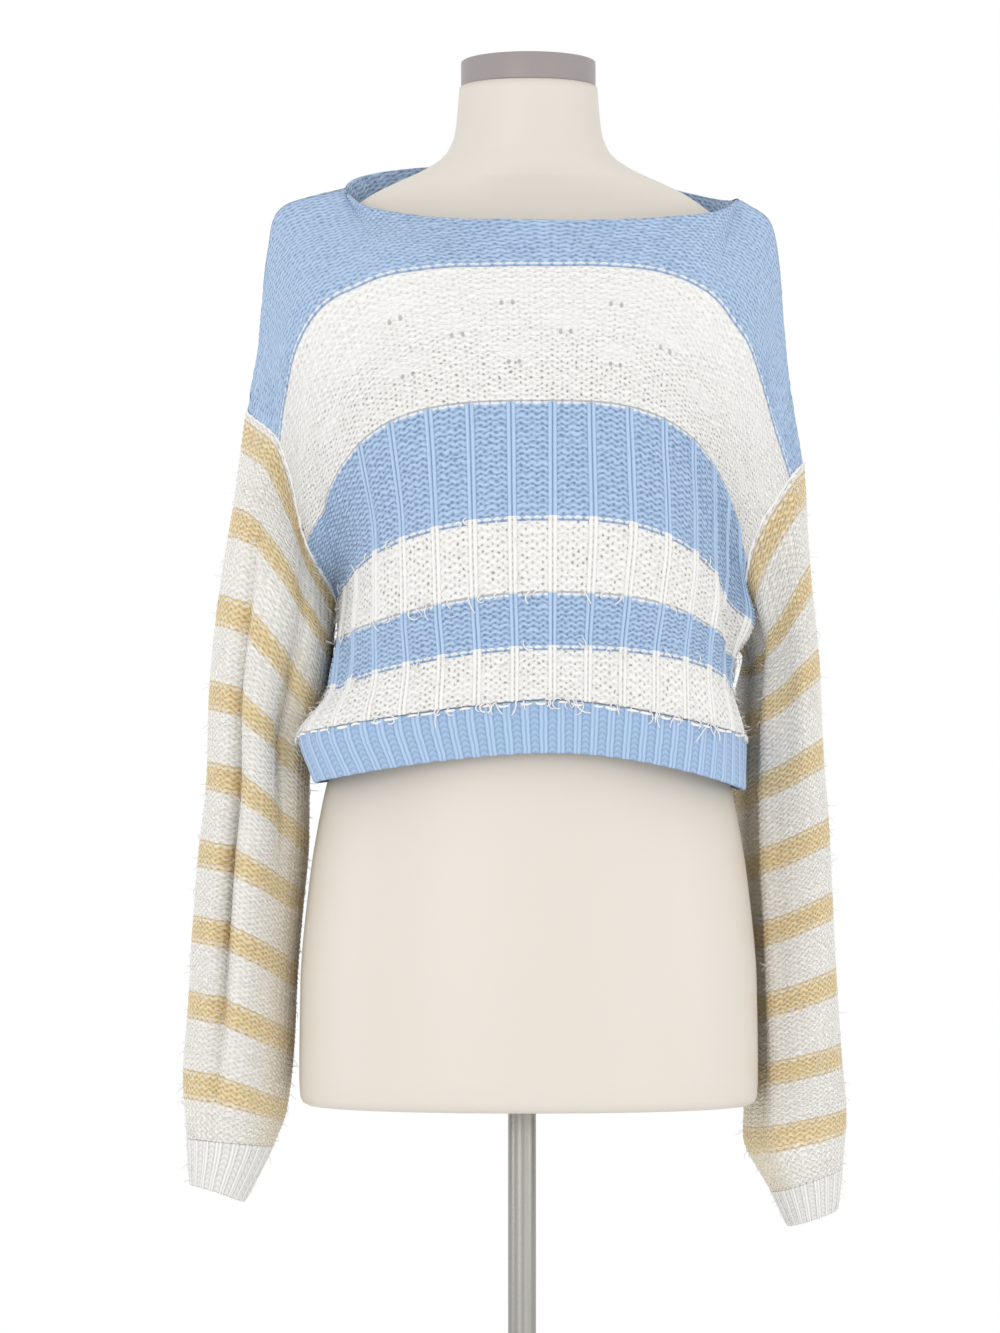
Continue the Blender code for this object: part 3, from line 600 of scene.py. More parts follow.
def wall_piece(name, outer, inner, look, turn=0.0, attributes=()):
    """Closed wall between two grids, each (points[u, v], u, v, uv[u, v]).

    turn is the stitches round a tube, 0 on a panel. attributes are (name, values outside, value inside).
    """
    index, places, maps, start = [], [], [], 0
    for points, u, v, uv in (outer, inner):
        one = np.arange(points.shape[0] * points.shape[1]).reshape(points.shape[:2]) + start
        start += one.size
        u = np.asarray(u, float)
        if turn:
            one = np.concatenate([one, one[:1]])
            u = np.append(u, u[0] + 2 * math.pi)
            uv = np.concatenate([uv, uv[:1] + np.array([turn, 0])])
        index.append(one)
        places.append((u, np.asarray(v, float)))
        maps.append(uv)
    # Faces are made on virtual points first, so that a tube's first column can have two places in the map.
    o, i = (np.arange(one.size).reshape(one.shape) for one in index)
    i = i + o.size
    (ou, ov), (iu, iv) = places
    faces = [grid_faces(o, False), grid_faces(i, True)]
    faces.append(zipped(o[:, 0], ou, i[:, 0], iu))
    faces.append(zipped(o[:, -1], ou, i[:, -1], iu)[:, ::-1])
    if not turn:
        faces.append(zipped(o[-1], ov, i[-1], iv))
        faces.append(zipped(o[0], ov, i[0], iv)[:, ::-1])
    faces = np.concatenate(faces)
    real = np.concatenate([one.ravel() for one in index])
    uv = np.concatenate([one.reshape(-1, 2) for one in maps])
    points = np.concatenate([outer[0].reshape(-1, 3), inner[0].reshape(-1, 3)])
    if inside_out(points[real[faces]]):
        faces = faces[:, ::-1]
    inner_size = len(points) - outer[0].shape[0] * outer[0].shape[1]
    values = [
        (label, np.concatenate([outside.ravel(), np.full(inner_size, inside)]))
        for label, outside, inside in attributes
    ]
    return mesh_piece(name, points, real[faces], uv[faces], look, values)


# --- Materials ---------------------------------------------------------------------------------


def linear(red, green, blue):
    """Linear colour from 8-bit sRGB values."""
    made = []
    for value in (red, green, blue):
        value /= 255
        made.append(value / 12.92 if value <= 0.04045 else ((value + 0.055) / 1.055) ** 2.4)
    return (*made, 1.0)


def dyed(red, green, blue):
    """Own colour of a cloth that looks like these 8-bit values where the lamps reach it."""
    return (*(channel / LAMP_GAIN for channel in linear(red, green, blue)[:3]), 1.0)


class Value:
    """What a shader node gives, with plain arithmetic that adds nodes."""

    def __init__(self, look, socket):
        self.look = look
        self.socket = socket

    def __add__(self, other):
        return self.look.math("ADD", self, other)

    def __sub__(self, other):
        return self.look.math("SUBTRACT", self, other)

    def __rsub__(self, other):
        return self.look.math("SUBTRACT", other, self)

    def __mul__(self, other):
        return self.look.math("MULTIPLY", self, other)

    def __truediv__(self, other):
        return self.look.math("DIVIDE", self, other)

    def __pow__(self, other):
        return self.look.math("POWER", self, other)

    def __abs__(self):
        return self.look.math("ABSOLUTE", self)

    def wave(self):
        """Cosine of so many turns."""
        return self.look.math("COSINE", self * (2 * math.pi))

    def ramp(self, low, high, to_low=0.0, to_high=1.0):
        """Soft step from low to high."""
        node = self.look.nodes.new("ShaderNodeMapRange")
        node.interpolation_type = "SMOOTHSTEP"
        return self.look.filled(node, self, low, high, to_low, to_high)


class Look:
    """A material with short ways to add nodes. What a node is given is a Value, a number or a colour."""

    def __init__(self, name, roughness, sheen=0.0, metallic=0.0):
        self.made = bpy.data.materials.new(name)
        self.made.use_nodes = True
        self.nodes = self.made.node_tree.nodes
        self.links = self.made.node_tree.links
        self.shader = self.nodes["Principled BSDF"]
        self.shader.inputs["Roughness"].default_value = roughness
        self.shader.inputs["Metallic"].default_value = metallic
        self.shader.inputs["Sheen Weight"].default_value = sheen
        self.shader.inputs["Sheen Roughness"].default_value = 0.6

    def put(self, socket, value):
        if isinstance(value, Value):
            self.links.new(value.socket, socket)
        else:
            socket.default_value = value

    def filled(self, node, *values):
        """The node's first output, after its first inputs are given."""
        for socket, value in zip(node.inputs, values):
            self.put(socket, value)
        return Value(self, node.outputs[0])

    def math(self, operation, *values):
        node = self.nodes.new("ShaderNodeMath")
        node.operation = operation
        return self.filled(node, *values)

    def layered(self, colour, *layers):
        """Colour with layers over it, each (share, colour)."""
        for share, over in layers:
            node = self.nodes.new("ShaderNodeMix")
            node.data_type = "RGBA"
            for socket, value in zip((node.inputs[0], node.inputs[6], node.inputs[7]), (share, colour, over)):
                self.put(socket, value)
            colour = Value(self, node.outputs[2])
        return colour

    def uv(self):
        """Stitch and course."""
        node = self.nodes.new("ShaderNodeUVMap")
        node.uv_map = "knit"
        split = self.nodes.new("ShaderNodeSeparateXYZ")
        self.links.new(node.outputs[0], split.inputs[0])
        return Value(self, split.outputs[0]), Value(self, split.outputs[1])

    def attribute(self, name):
        node = self.nodes.new("ShaderNodeAttribute")
        node.attribute_name = name
        return Value(self, node.outputs["Fac"])

    def vector(self, x, y, z=0.0):
        return self.filled(self.nodes.new("ShaderNodeCombineXYZ"), x, y, z)

    def noise(self, scale, detail=2.0, roughness=0.5, where=None):
        """Noise at a vector of stitches and courses, or else at the object's own points."""
        node = self.nodes.new("ShaderNodeTexNoise")
        place = where or Value(self, self.nodes.new("ShaderNodeTexCoord").outputs["Object"])
        given = {"Vector": place, "Scale": scale, "Detail": detail, "Roughness": roughness}
        for name, value in given.items():
            self.put(node.inputs[name], value)
        return Value(self, node.outputs[0])

    def finished(self, colour, height, strength, distance):
        """The material, with its colour and its relief."""
        self.put(self.shader.inputs["Base Color"], colour)
        node = self.nodes.new("ShaderNodeBump")
        for name, value in (("Strength", strength), ("Distance", distance), ("Height", height)):
            self.put(node.inputs[name], value)
        self.links.new(node.outputs[0], self.shader.inputs["Normal"])
        return self.made


BLUE = dyed(192, 218, 249)
BLUE_MIDDLE = dyed(178, 204, 235)
# Painted shade for the blue knit's grooves, dots and rib lines.
BLUE_SHADE = dyed(120, 150, 192)
WHITE = dyed(255, 254, 252)
WHITE_MIDDLE = dyed(247, 246, 243)
# Painted shade for the white knit's grooves, dots and rib lines.
WHITE_SHADE = dyed(160, 154, 144)
# Painted shade: the grey of the form in shadow seen through an eyelet hole.
HOLE_SHADE = dyed(160, 155, 146)
YARN_END = dyed(253, 253, 253)
YELLOW = dyed(253, 236, 190)
YELLOW_MIDDLE = dyed(245, 221, 168)
# Painted shade for the yellow stripes' grooves and dots.
YELLOW_SHADE = dyed(208, 172, 118)
SLEEVE_WHITE = dyed(262, 260, 255)
SLEEVE_MIDDLE = dyed(252, 249, 243)
# Painted shade for the sleeve white's grooves and dots.
SLEEVE_SHADE = dyed(208, 197, 175)
# Painted light: a warm tan for light bounced from the body and seen through the knit beside it.
SLEEVE_BOUNCE_TAN = dyed(250, 230, 188)  # where the far wall shows through the knit, beside the body
EDGE_BLUE = dyed(140, 160, 192)
EDGE_GREY = dyed(176, 176, 180)
EDGE_YELLOW = dyed(216, 186, 128)
# The third colour of each rib set is painted shade for the rib's recesses.
HEM_BLUES = (dyed(184, 210, 242), dyed(172, 199, 232), dyed(128, 158, 198))
CUFF_WHITES = (dyed(251, 250, 248), dyed(244, 243, 240), dyed(204, 201, 194))
LOOSE_WHITES = (dyed(253, 252, 250), dyed(240, 237, 232))
FORM_CREAMS = (dyed(229, 221, 211), dyed(224, 216, 205))
CAP_GREYS = (dyed(160, 152, 152), dyed(150, 142, 141))
STEEL_GREYS = (linear(158, 156, 151), linear(146, 144, 140))
FLOOR_GREYS = (linear(240, 240, 239), linear(234, 234, 233))


def least(first, second):
    return first.look.math("MINIMUM", first, second)


def most(values):
    largest = values[0]
    for value in values[1:]:
        largest = value.look.math("MAXIMUM", largest, value)
    return largest


def near(value, centre, half):
    """1 near centre, 0 past half a width away, soft between."""
    return abs(value - centre).ramp(half * 1.25, half * 0.6)


def oval(across, up, half_across, half_up):
    """1 on an oval's edge, less inside it."""
    return (across / half_across) ** 2.0 + (up / half_up) ** 2.0


def shaken_lattice(look, u, v, wave_height):
    """Purl rows shaken a little: the groove between rows, and the dot where a row turns. Both serve as
    relief, and as masks of painted shade in the colours.
    """
    v = (look.noise(1.1, where=look.vector(u, v)) - 0.5) * 0.85 + v
    u = (look.noise(1.0, where=look.vector(v, u, 3.0)) - 0.5) * 0.7 + u
    wave = u.wave()
    row = (wave * wave_height + v).wave() * 0.5 + 0.5
    return row, row**2.2 * abs(wave) ** 2.2


def dash_row(look, u, v, centre, half, length, arch):
    """Row of dashes, one a stitch, a little arched, with their middles at a height of v."""
    across = look.math("FRACT", u) - 0.5
    level = u.wave() * -arch + v
    return (abs(across / (length / 2)) ** 4.0 + ((level - centre) / half) ** 2.0).ramp(1.3, 0.6)


def eyelets(look, u, v):
    """Pairs of small holes in three staggered rows, and the smooth place above each pair."""
    holes, smooth_places = [], []
    for row, first in EYELET_ROWS:
        along_row = look.math("WRAP", u - first, EYELET_SPACING / 2, -EYELET_SPACING / 2)
        hole = oval(abs(along_row) - 0.5, v - row, *EYELET_HALF).ramp(1.5, 0.5)
        holes.append(hole * abs(u).ramp(EYELET_REACH + 1, EYELET_REACH))
        above = v - (row - EYELET_SMOOTH_ABOVE)
        smooth_places.append(oval(along_row, above, *EYELET_SMOOTH_HALF).ramp(1.3, 0.5))
    return most(holes), most(smooth_places)


def body_look(name):
    look = Look(name, 0.9, 0.15)
    u, v = look.uv()
    rib = look.attribute("rib")
    in_rib = rib.ramp(1.06, 0.94)
    no_rib = 1.0 - in_rib
    row, dot = shaken_lattice(look, u, v, PURL_WAVE)
    fibre = look.noise(1100.0, 3.0, 0.65)
    patch = look.noise(30.0)
    tuft = look.noise(260.0)
    # Courses into the blue. In the ribs white starts a course higher up.
    high = in_rib * 0.9 + v
    bust = least(v - BUST_TOP, BUST_END - high)
    waist = least(v - WAIST_TOP, WAIST_END - high)
    is_blue = most((YOKE_END - v, bust, waist)).ramp(-0.06, 0.06)
    # White stitches at the colour changes, and the shade beside them.
    dashes = [dash_row(look, u, v, edge + 0.26, 0.24, 0.88, -0.06) for edge in (BUST_TOP, WAIST_TOP)]
    dashes += [dash_row(look, u, v, edge - 0.58, 0.25, 0.84, 0.10) for edge in (BUST_END, WAIST_END)]
    dashes.append(dash_row(look, u, v, YOKE_END - 0.62, 0.27, 0.76, 0.08))
    dash = most(dashes) * no_rib
    grey = most([near(v, edge - 0.12, 0.12) for edge in (BUST_TOP, WAIST_TOP, HEM_TOP)])
    grey = grey * (no_rib * 0.7 + 0.3)
    under = most([near(v, edge - 0.14, 0.13) for edge in (YOKE_END, BUST_END, WAIST_END)])
    # Dots and grooves, darkened in the colour as painted shade in the recesses of the purl. White grows
    # clearer dots towards the bust, and some are missing.
    hole, smooth_place = eyelets(look, u, v)
    groove_strength = tuft * 1.7 + 0.15
    groove = row**1.4 * groove_strength
    dot = dot * groove_strength
    missing = look.noise(0.9, 1.0, where=look.vector(u, v, 7.0)).ramp(0.40, 0.56, 0.35, 1.0)
    # Wales of the rib: light, with painted shade on the recessed line between them and at their sides.
    middle = rib.ramp(0.26, 0.02)
    wale_shade = most((middle, abs(rib - 1.0).ramp(0.20, 0.0) * 0.55)) * in_rib
    yoke_quiet = v.ramp(YOKE_END - 1, YOKE_END + 1, 0.85, 1.0)
    # Painted shade: the colours darken in the grooves, in the dots and on the lines of the ribs.
    blue_painted_shade = wale_shade * 0.80 + (groove * 0.46 + dot * 0.62) * no_rib * yoke_quiet
    white_painted_shade = (groove * 0.07 + dot**1.9 * missing * 0.95) * (v.ramp(16.0, 30.0, 0.35, 1.0) * no_rib)
    white_painted_shade = white_painted_shade * (1.0 - smooth_place * 0.85) + middle * in_rib * (row * 0.45 + 0.12)
    blue = look.layered(
        BLUE,
        (fibre * 0.8, BLUE_MIDDLE),
        (patch * 0.35, BLUE_MIDDLE),
        (least(blue_painted_shade, 1.0), BLUE_SHADE),
        (under * 0.55, EDGE_BLUE),
        (dash * 0.97, YARN_END),
    )
    white = look.layered(
        WHITE,
        (fibre, WHITE_MIDDLE),
        (least(white_painted_shade, 1.0), WHITE_SHADE),
        (grey * 0.75, EDGE_GREY),
        # painted shade in the eyelet holes
        (hole * 0.62, HOLE_SHADE),
    )
    height = (1.0 - row) * no_rib * 0.75 + fibre * 0.35 - dot * 0.35 + dash * 0.4
    return look.finished(look.layered(white, (is_blue, blue)), height, 0.9, 0.0011)


def sleeve_look(name):
    look = Look(name, 0.92, 0.25)
    u, v = look.uv()
    row, dot = shaken_lattice(look, u, v, SLEEVE_WAVE)
    fibre = look.noise(1000.0, 3.0, 0.7)
    tuft = look.noise(300.0, 3.0, 0.6)
    # Courses into the nearest stripe, then the same with a ragged edge.
    first_middle = STRIPE_START + STRIPE_COURSES / 2
    since = v - (first_middle - STRIPE_PERIOD / 2) + 10.0 * STRIPE_PERIOD
    from_middle = look.math("MODULO", since, STRIPE_PERIOD) - STRIPE_PERIOD / 2
    into = STRIPE_COURSES / 2 - abs(from_middle)
    ragged = (tuft - 0.5) * 0.5 + into
    dash = dash_row(look, u, ragged, 0.62, 0.26, 0.80, 0.08) * tuft.ramp(0.35, 0.60, 0.15, 0.75)
    groove_strength = tuft * 1.3 + 0.35
    groove = row**1.3 * groove_strength
    dot = dot * groove_strength
    # Painted shade: yellow and white darken in the grooves and dots of the purl.
    yellow = look.layered(
        YELLOW,
        (fibre, YELLOW_MIDDLE),
        (least(groove * 0.36 + dot * 0.62, 1.0), YELLOW_SHADE),
        (near(into, 0.12, 0.24) * 0.25, EDGE_YELLOW),
        (dash, WHITE),
    )
    white = look.layered(
        SLEEVE_WHITE,
        (fibre, SLEEVE_MIDDLE),
        (least(groove * 0.12 + dot * 0.36, 1.0), SLEEVE_SHADE),
    )
    # Painted light: the sleeve's side by the body, lower down, takes a warm tan for bounced and see-through
    # light.
    bounce_by_body = abs(u - SLEEVE_STITCHES / 2).ramp(10.0, 4.0) * v.ramp(18.0, 34.0)
    colour = look.layered(white, (ragged.ramp(-0.08, 0.08), yellow), (bounce_by_body * 0.45, SLEEVE_BOUNCE_TAN))
    height = (1.0 - row) * 0.7 + fibre * 0.5 - dot * 0.3 + tuft * 0.5
    return look.finished(colour, height, 1.0, 0.0012)


def rib_look(name, light, middle, dark):
    """Ribs of hem and cuffs: two light wales and two purl columns. u counts ribs, v courses from the top."""
    look = Look(name, 0.9, 0.15)
    u, v = look.uv()
    fibre = look.noise(1100.0, 3.0, 0.65)
    u = (look.noise(0.7, where=look.vector(u, v)) - 0.5) * 0.10 + u
    from_rib = abs(look.math("FRACT", u) - 0.5)
    row = ((u * 2.0).wave() * 0.2 + v).wave() * 0.5 + 0.5
    stitch = row * from_rib.ramp(0.22, 0.30)
    lines = near(from_rib, 0.0, 0.045) + near(from_rib, 0.255, 0.045)
    # Painted shade: the purl rows and the lines beside the wales darken as recesses.
    cavity = (stitch * 0.5 + lines * 0.5) * (fibre * 0.8 + 0.6)
    wales = near(from_rib, 0.125, 0.105)
    colour = look.layered(middle, (wales, light), (fibre * 0.5, middle), (least(cavity, 1.0), dark))
    return look.finished(colour, fibre * 0.4 - cavity * 0.7, 0.9, 0.0010)


def plain_look(name, colours, roughness, sheen=0.0, metallic=0.0, grain=700.0):
    """Smooth surface with a fine grain and faint patches, between a light and a dark colour."""
    look = Look(name, roughness, sheen, metallic)
    fine = look.noise(grain, 3.0, 0.6)
    patch = look.noise(9.0)
    colour = look.layered(colours[0], (fine * 0.35 + patch * 0.4, colours[1]))
    return look.finished(colour, fine, 0.15, 0.0003)


# --- Knitted pieces ----------------------------------------------------------------------------


def courses_of(t):
    return np.interp(t, LEVELS[:7], COURSES)


def t_of(course):
    return np.interp(course, COURSES, LEVELS[:7])


def sampled(last):
    """Courses from 0 to last, in steps of a sample."""
    return np.append(np.arange(0, int(last * SAMPLES_A_COURSE) + 1) / SAMPLES_A_COURSE, last)


def knitted_courses(base, rows_v):
    """Course at each point of a body grid. In the yoke the courses keep their real height."""
    down = travelled(base)
    change = np.argmin(np.abs(rows_v - YOKE_END))
    climbed = (down[:, change : change + 1] - down) / COURSE_HEIGHT
    return np.where(rows_v < YOKE_END, YOKE_END - climbed, rows_v)


def stitches_of(a, ribbed):
    """Stitch count across at a. Where ribbed, a period is half a rib, three purls and half a rib."""
    period = a / BODY_RIB_PITCH
    whole = np.floor(period)
    in_ribbed = np.interp(period - whole, [0, RIB_SHARE, 1 - RIB_SHARE, 1], [0, 0.5, 3.5, 4])
    return STITCHES_A_PERIOD * whole + np.where(ribbed, in_ribbed, (period - whole) * STITCHES_A_PERIOD)


def body_columns():
    """Values of a across a panel, denser over its ribs."""
    rib = np.linspace(-RIB_SHARE, RIB_SHARE, 7)[:-1]
    one = np.concatenate([rib, np.linspace(RIB_SHARE, 1 - RIB_SHARE, 12)[:-1]])
    columns = np.concatenate([(k + one) * BODY_RIB_PITCH for k in range(-9, 10)])
    return np.concatenate([[-1.0], columns[np.abs(columns) < 0.997], [1.0]])


def panel_grid(panel, columns, rows):
    """a and t over a panel, and its points and outward normals there."""
    a, t = np.meshgrid(columns, rows, indexing="ij")
    base = body_surface(panel)(a, t)
    return a, t, base, seam_normals(grid_normals(base, FACING[panel], False), a, t)


def raised(panel, grid, rise):
    """Points of a panel's grid, moved out by rise."""
    a, t, base, facing_out = grid
    return parted(panel, base + facing_out * rise[..., None], a, t)


def body_piece(panel, look):
    columns = body_columns()
    rows_v = sampled(courses_of(T_HEM_RIB - HEM_SEAM))
    rows = t_of(rows_v)
    grid = panel_grid(panel, columns, rows)
    a, _, base, _ = grid
    v = knitted_courses(base, rows_v)
    # The relief fades out where samples are too far apart to show it.
    fine = np.clip(2.6 - np.abs(np.gradient(v, axis=1)) / np.gradient(rows_v), 0, 1)
    ribbed = (v > BUST_TOP + 0.1) & ~((panel == "front") & (a < PLAIN_FLANK) & (v < BUST_END))
    u = stitches_of(a, ribbed)
    period = a / BODY_RIB_PITCH
    rib = np.where(ribbed, np.abs(period - np.round(period)) / RIB_SHARE, 2.0)
    white = ((v > YOKE_END) & (v < BUST_TOP)) | ((v > BUST_END) & (v < WAIST_TOP)) | (v > WAIST_END)
    shaken_v = v + 0.12 * wander(u, v, SEED_SLOW_SHAKE, 5.0) + 0.10 * wander(u, v, SEED_QUICK_SHAKE, 1.7)
    rise = np.where(white, WHITE_PURL, PURL) * (0.6 + fine * (purl(u, shaken_v) ** 0.8 - 0.6))
    wale = BODY_WALE * np.sqrt(np.abs(np.sin(math.pi * np.minimum(rib, 1)))) + 0.0002 * purl(0.0, v)
    rise = np.where(rib < 1, wale, rise) - 0.0001
    rise += LUMPS * wander(u * 0.008, v * 0.0044, SEED_BODY_LUMPS + SECOND[panel], 0.05)
    rise -= 0.0009 * np.clip(1 - rows_v / 0.8, 0, 1) ** 2
    inner_columns = np.linspace(-1, 1, INNER_POINTS)
    inner_rows = np.interp(np.linspace(0, 1, INNER_POINTS), np.linspace(0, 1, len(rows)), rows)
    inner = panel_grid(panel, inner_columns, inner_rows)
    inner_v = np.interp(inner[1], rows, rows_v)
    inner_v = np.where(inner_v < YOKE_END, knitted_courses(inner[2], inner_v[0]), inner_v)
    inner_points = raised(panel, inner, np.full_like(inner_v, -WALL))
    return wall_piece(
        panel + "_knit",
        (raised(panel, grid, rise), columns, rows, np.stack([u, v], -1)),
        (inner_points, inner_columns, inner_rows, np.stack([stitches_of(inner[0], False), inner_v], -1)),
        look,
        attributes=[("rib", rib, 9.0)],
    )


def rib_rise(u, v, height, courses):
    """Relief of a ribbed band, whose lower edge rolls in. u counts ribs, v courses."""
    crest = swell(u)
    roll = np.clip((v - courses) / 0.8 + 1, 0, 1) ** 2
    return height * crest**0.7 + 0.0003 * (1 - crest) * swell(v) - 0.0008 * roll


def hem_piece(panel, look):
    fine = np.linspace(T_HEM_RIB, 1.0, HEM_COURSES * SAMPLES_A_COURSE + 1)
    outer = (np.linspace(-1, 1, HEM_RIBS * SAMPLES_A_RIB + 1), fine)
    inner = (np.linspace(-1, 1, INNER_POINTS), np.linspace(T_HEM_RIB, 1.0, 6))
    faces = []
    for columns, rows in (outer, inner):
        grid = panel_grid(panel, columns, rows)
        a, t = grid[:2]
        u = (a + 1) / 2 * HEM_RIBS
        v = (t - T_HEM_RIB) / (1 - T_HEM_RIB) * HEM_COURSES
        rise = rib_rise(u, v, HEM_WALE, HEM_COURSES) - 0.0002
        rise += 0.0005 * wander(a * 0.25, t * 0.4, SEED_HEM_LUMPS, 0.05)
        if faces:
            rise = np.full_like(a, -WALL)
        faces.append((raised(panel, grid, rise), columns, rows, np.stack([u, v], -1)))
    return wall_piece("hem_knit_" + panel, *faces, look)


def tube_piece(name, side, look, outer, inner, v_of, rise_of, turn):
    """Wall round a sleeve with turn stitches. outer and inner are (angles, levels), v_of a level's course."""
    surface = sleeve_surface(side)
    faces = []
    for angles, levels in (outer, inner):
        angle, level = np.meshgrid(angles, levels, indexing="ij")
        base = surface(angle, level)
        u, v = angle / (2 * math.pi) * turn, v_of(level)
        rise = np.full_like(angle, -WALL) if faces else rise_of(u, v)
        points = base + grid_normals(base, OUTWARD[side], True) * rise[..., None]
        faces.append((points, angles, levels, np.stack([u, v], -1)))
    return wall_piece(name, *faces, look, turn=turn)


def sleeve_piece(side, look):
    last = Q_CUFF - 1.5 * SEAM_GAP
    outer = (turn_angles(SLEEVE_STITCHES * SAMPLES_A_COURSE), sampled(last / SLEEVE_COURSE) * SLEEVE_COURSE)
    inner = (turn_angles(88), np.linspace(0, last, 46))

    def rise_of(u, v):
        shaken = v + 0.15 * wander(u, v, SEED_SLEEVE_SHAKE + SECOND[side], 5.0)
        around = 2 * math.pi * u / SLEEVE_STITCHES
        lumps = 0
        for k in range(1, 5):
            waves = np.sin(k * around + 1.7 * k + v / (9 + 3 * k)) * np.sin(v / (13 + 2 * k) + k)
            lumps = lumps + math.cos(k) * waves
        return PURL * purl(u, shaken) ** 0.8 - 0.0001 + LUMPS * lumps * np.clip(v / 8, 0, 1)

    def v_of(level):
        return level / SLEEVE_COURSE

    return tube_piece("sleeve_knit_" + side, side, look, outer, inner, v_of, rise_of, SLEEVE_STITCHES)


def cuff_piece(side, look):
    outer = (turn_angles(CUFF_RIBS * SAMPLES_A_RIB), np.linspace(Q_CUFF, Q_END, 37))
    inner = (turn_angles(44), np.linspace(Q_CUFF, Q_END, 5))

    def rise_of(u, v):
        return rib_rise(u, v, CUFF_WALE, CUFF_COURSES)

    def v_of(level):
        return (level - Q_CUFF) / (Q_END - Q_CUFF) * CUFF_COURSES

    return tube_piece("cuff_knit_" + side, side, look, outer, inner, v_of, rise_of, CUFF_RIBS)


# --- Loose yarn --------------------------------------------------------------------------------


def unit(vectors):
    return vectors / np.linalg.norm(vectors, axis=-1, keepdims=True)


def curled(roots, first, second, length, start, bend, steps):
    """Lines from roots. They set out at an angle start from first to second, and turn by bend."""
    share = (np.arange(steps) + 0.5) / steps
    angle = start[:, None] + bend[:, None] * share
    moves = np.cos(angle)[..., None] * first[:, None] + np.sin(angle)[..., None] * second[:, None]
    moves *= (length / steps)[:, None, None]
    return np.concatenate([roots[:, None], roots[:, None] + np.cumsum(moves, axis=1)], axis=1)


def tubes(name, lines, planes, radius, look, sides, end=0.45):
    """Closed tubes along lines [tube, point, xyz], with normals planes. end is the share of radius left."""
    ahead = unit(np.gradient(lines, axis=1))
    across = np.broadcast_to(planes[:, None], lines.shape)
    up = unit(np.cross(ahead, across))
    across = np.cross(up, ahead)
    angle = turn_angles(sides)[:, None]
    ring = np.cos(angle) * across[:, :, None] + np.sin(angle) * up[:, :, None]
    size = radius * np.linspace(1, end, lines.shape[1])
    points = (lines[:, :, None] + size[:, :, None, None] * ring).reshape(-1, 3)
    index = wrapped(lines.shape[1], sides)
    first, last = index[0], index[-1]
    fan_at = np.arange(1, sides - 1)
    faces = np.concatenate([
        grid_faces(index, False),
        np.stack([np.full_like(fan_at, first[0]), first[fan_at], first[fan_at + 1]], -1),
        np.stack([np.full_like(fan_at, last[0]), last[fan_at + 1], last[fan_at]], -1),
    ])
    one_tube = lines.shape[1] * sides
    faces = (faces + one_tube * np.arange(len(lines))[:, None, None]).reshape(-1, 3)
    if inside_out(points[faces]):
        faces = faces[:, ::-1]
    return mesh_piece(name, points, faces, None, look)


def on_surface(surface, u, v, spans, outward):
    """Places on a surface, with the unit vectors outward, down along v and across."""
    out = normals(surface, u, v, spans, outward)
    top, bottom = spans[1]
    small = STEP_SHARE * (bottom - top)
    down = unit(surface(u, np.minimum(v + small, bottom)) - surface(u, np.maximum(v - small, top)))
    return surface(u, v), out, down, np.cross(out, down)


def on_body(panel, a, t):
    return on_surface(body_surface(panel), a, t, BODY_SPANS, FACING[panel])


def fuzz(name, spots, look, seed, length, radius):
    """Short fibres that rise from the knit and bend back to it."""
    places, out, down, across = spots
    rng = np.random.default_rng(seed)
    count = len(places)
    turn = rng.normal(0, 1.1, count)[:, None]
    along_knit = np.cos(turn) * down + np.sin(turn) * across
    lengths = rng.uniform(*length, count)
    start, bend = rng.uniform(0.3, 1.4, count), rng.uniform(-2.4, 0.6, count)
    line = curled(places + 0.0006 * out, along_knit, out, lengths, start, bend, FIBRE_STEPS)
    return tubes(name, line, np.cross(along_knit, out), rng.uniform(*radius, count)[:, None], look, 3)


def sleeve_fuzz(side, look):
    count = SLEEVE_FIBRES
    rng = np.random.default_rng(SEED_SLEEVE_SPOTS + SECOND[side])
    phi = rng.uniform(0, 2 * math.pi, count)
    q = rng.uniform(0.004, Q_END - 0.003, count)
    spots = on_surface(sleeve_surface(side), phi, q, SLEEVE_SPANS, OUTWARD[side])
    return fuzz("sleeve_fuzz_" + side, spots, look, SEED_SLEEVE_FIBRES, (0.0025, 0.0085), (0.00020, 0.00038))


def body_fuzz(panel, look):
    """Fibres on the white bands of the lower body and along the colour changes."""
    count = BODY_FIBRES
    rng = np.random.default_rng(SEED_BODY_SPOTS + SECOND[panel])
    course = np.where(
        rng.uniform(size=count) < 0.45,
        rng.choice([BUST_END, WAIST_TOP, WAIST_END, HEM_TOP - 0.5], count) + rng.normal(0, 0.4, count),
        rng.choice([60, 79], count) + rng.uniform(-4.5, 4.5, count),
    )
    a = rng.uniform(-0.995, 0.995, count)
    a = np.where(rng.uniform(size=count) < 0.25, np.sign(a) * rng.uniform(0.9, 0.995, count), a)
    spots = on_body(panel, a, t_of(np.minimum(course, HEM_TOP - 0.1)))
    return fuzz("body_fuzz_" + panel, spots, look, SEED_BODY_FIBRES, (0.0025, 0.0075), (0.00024, 0.00046))


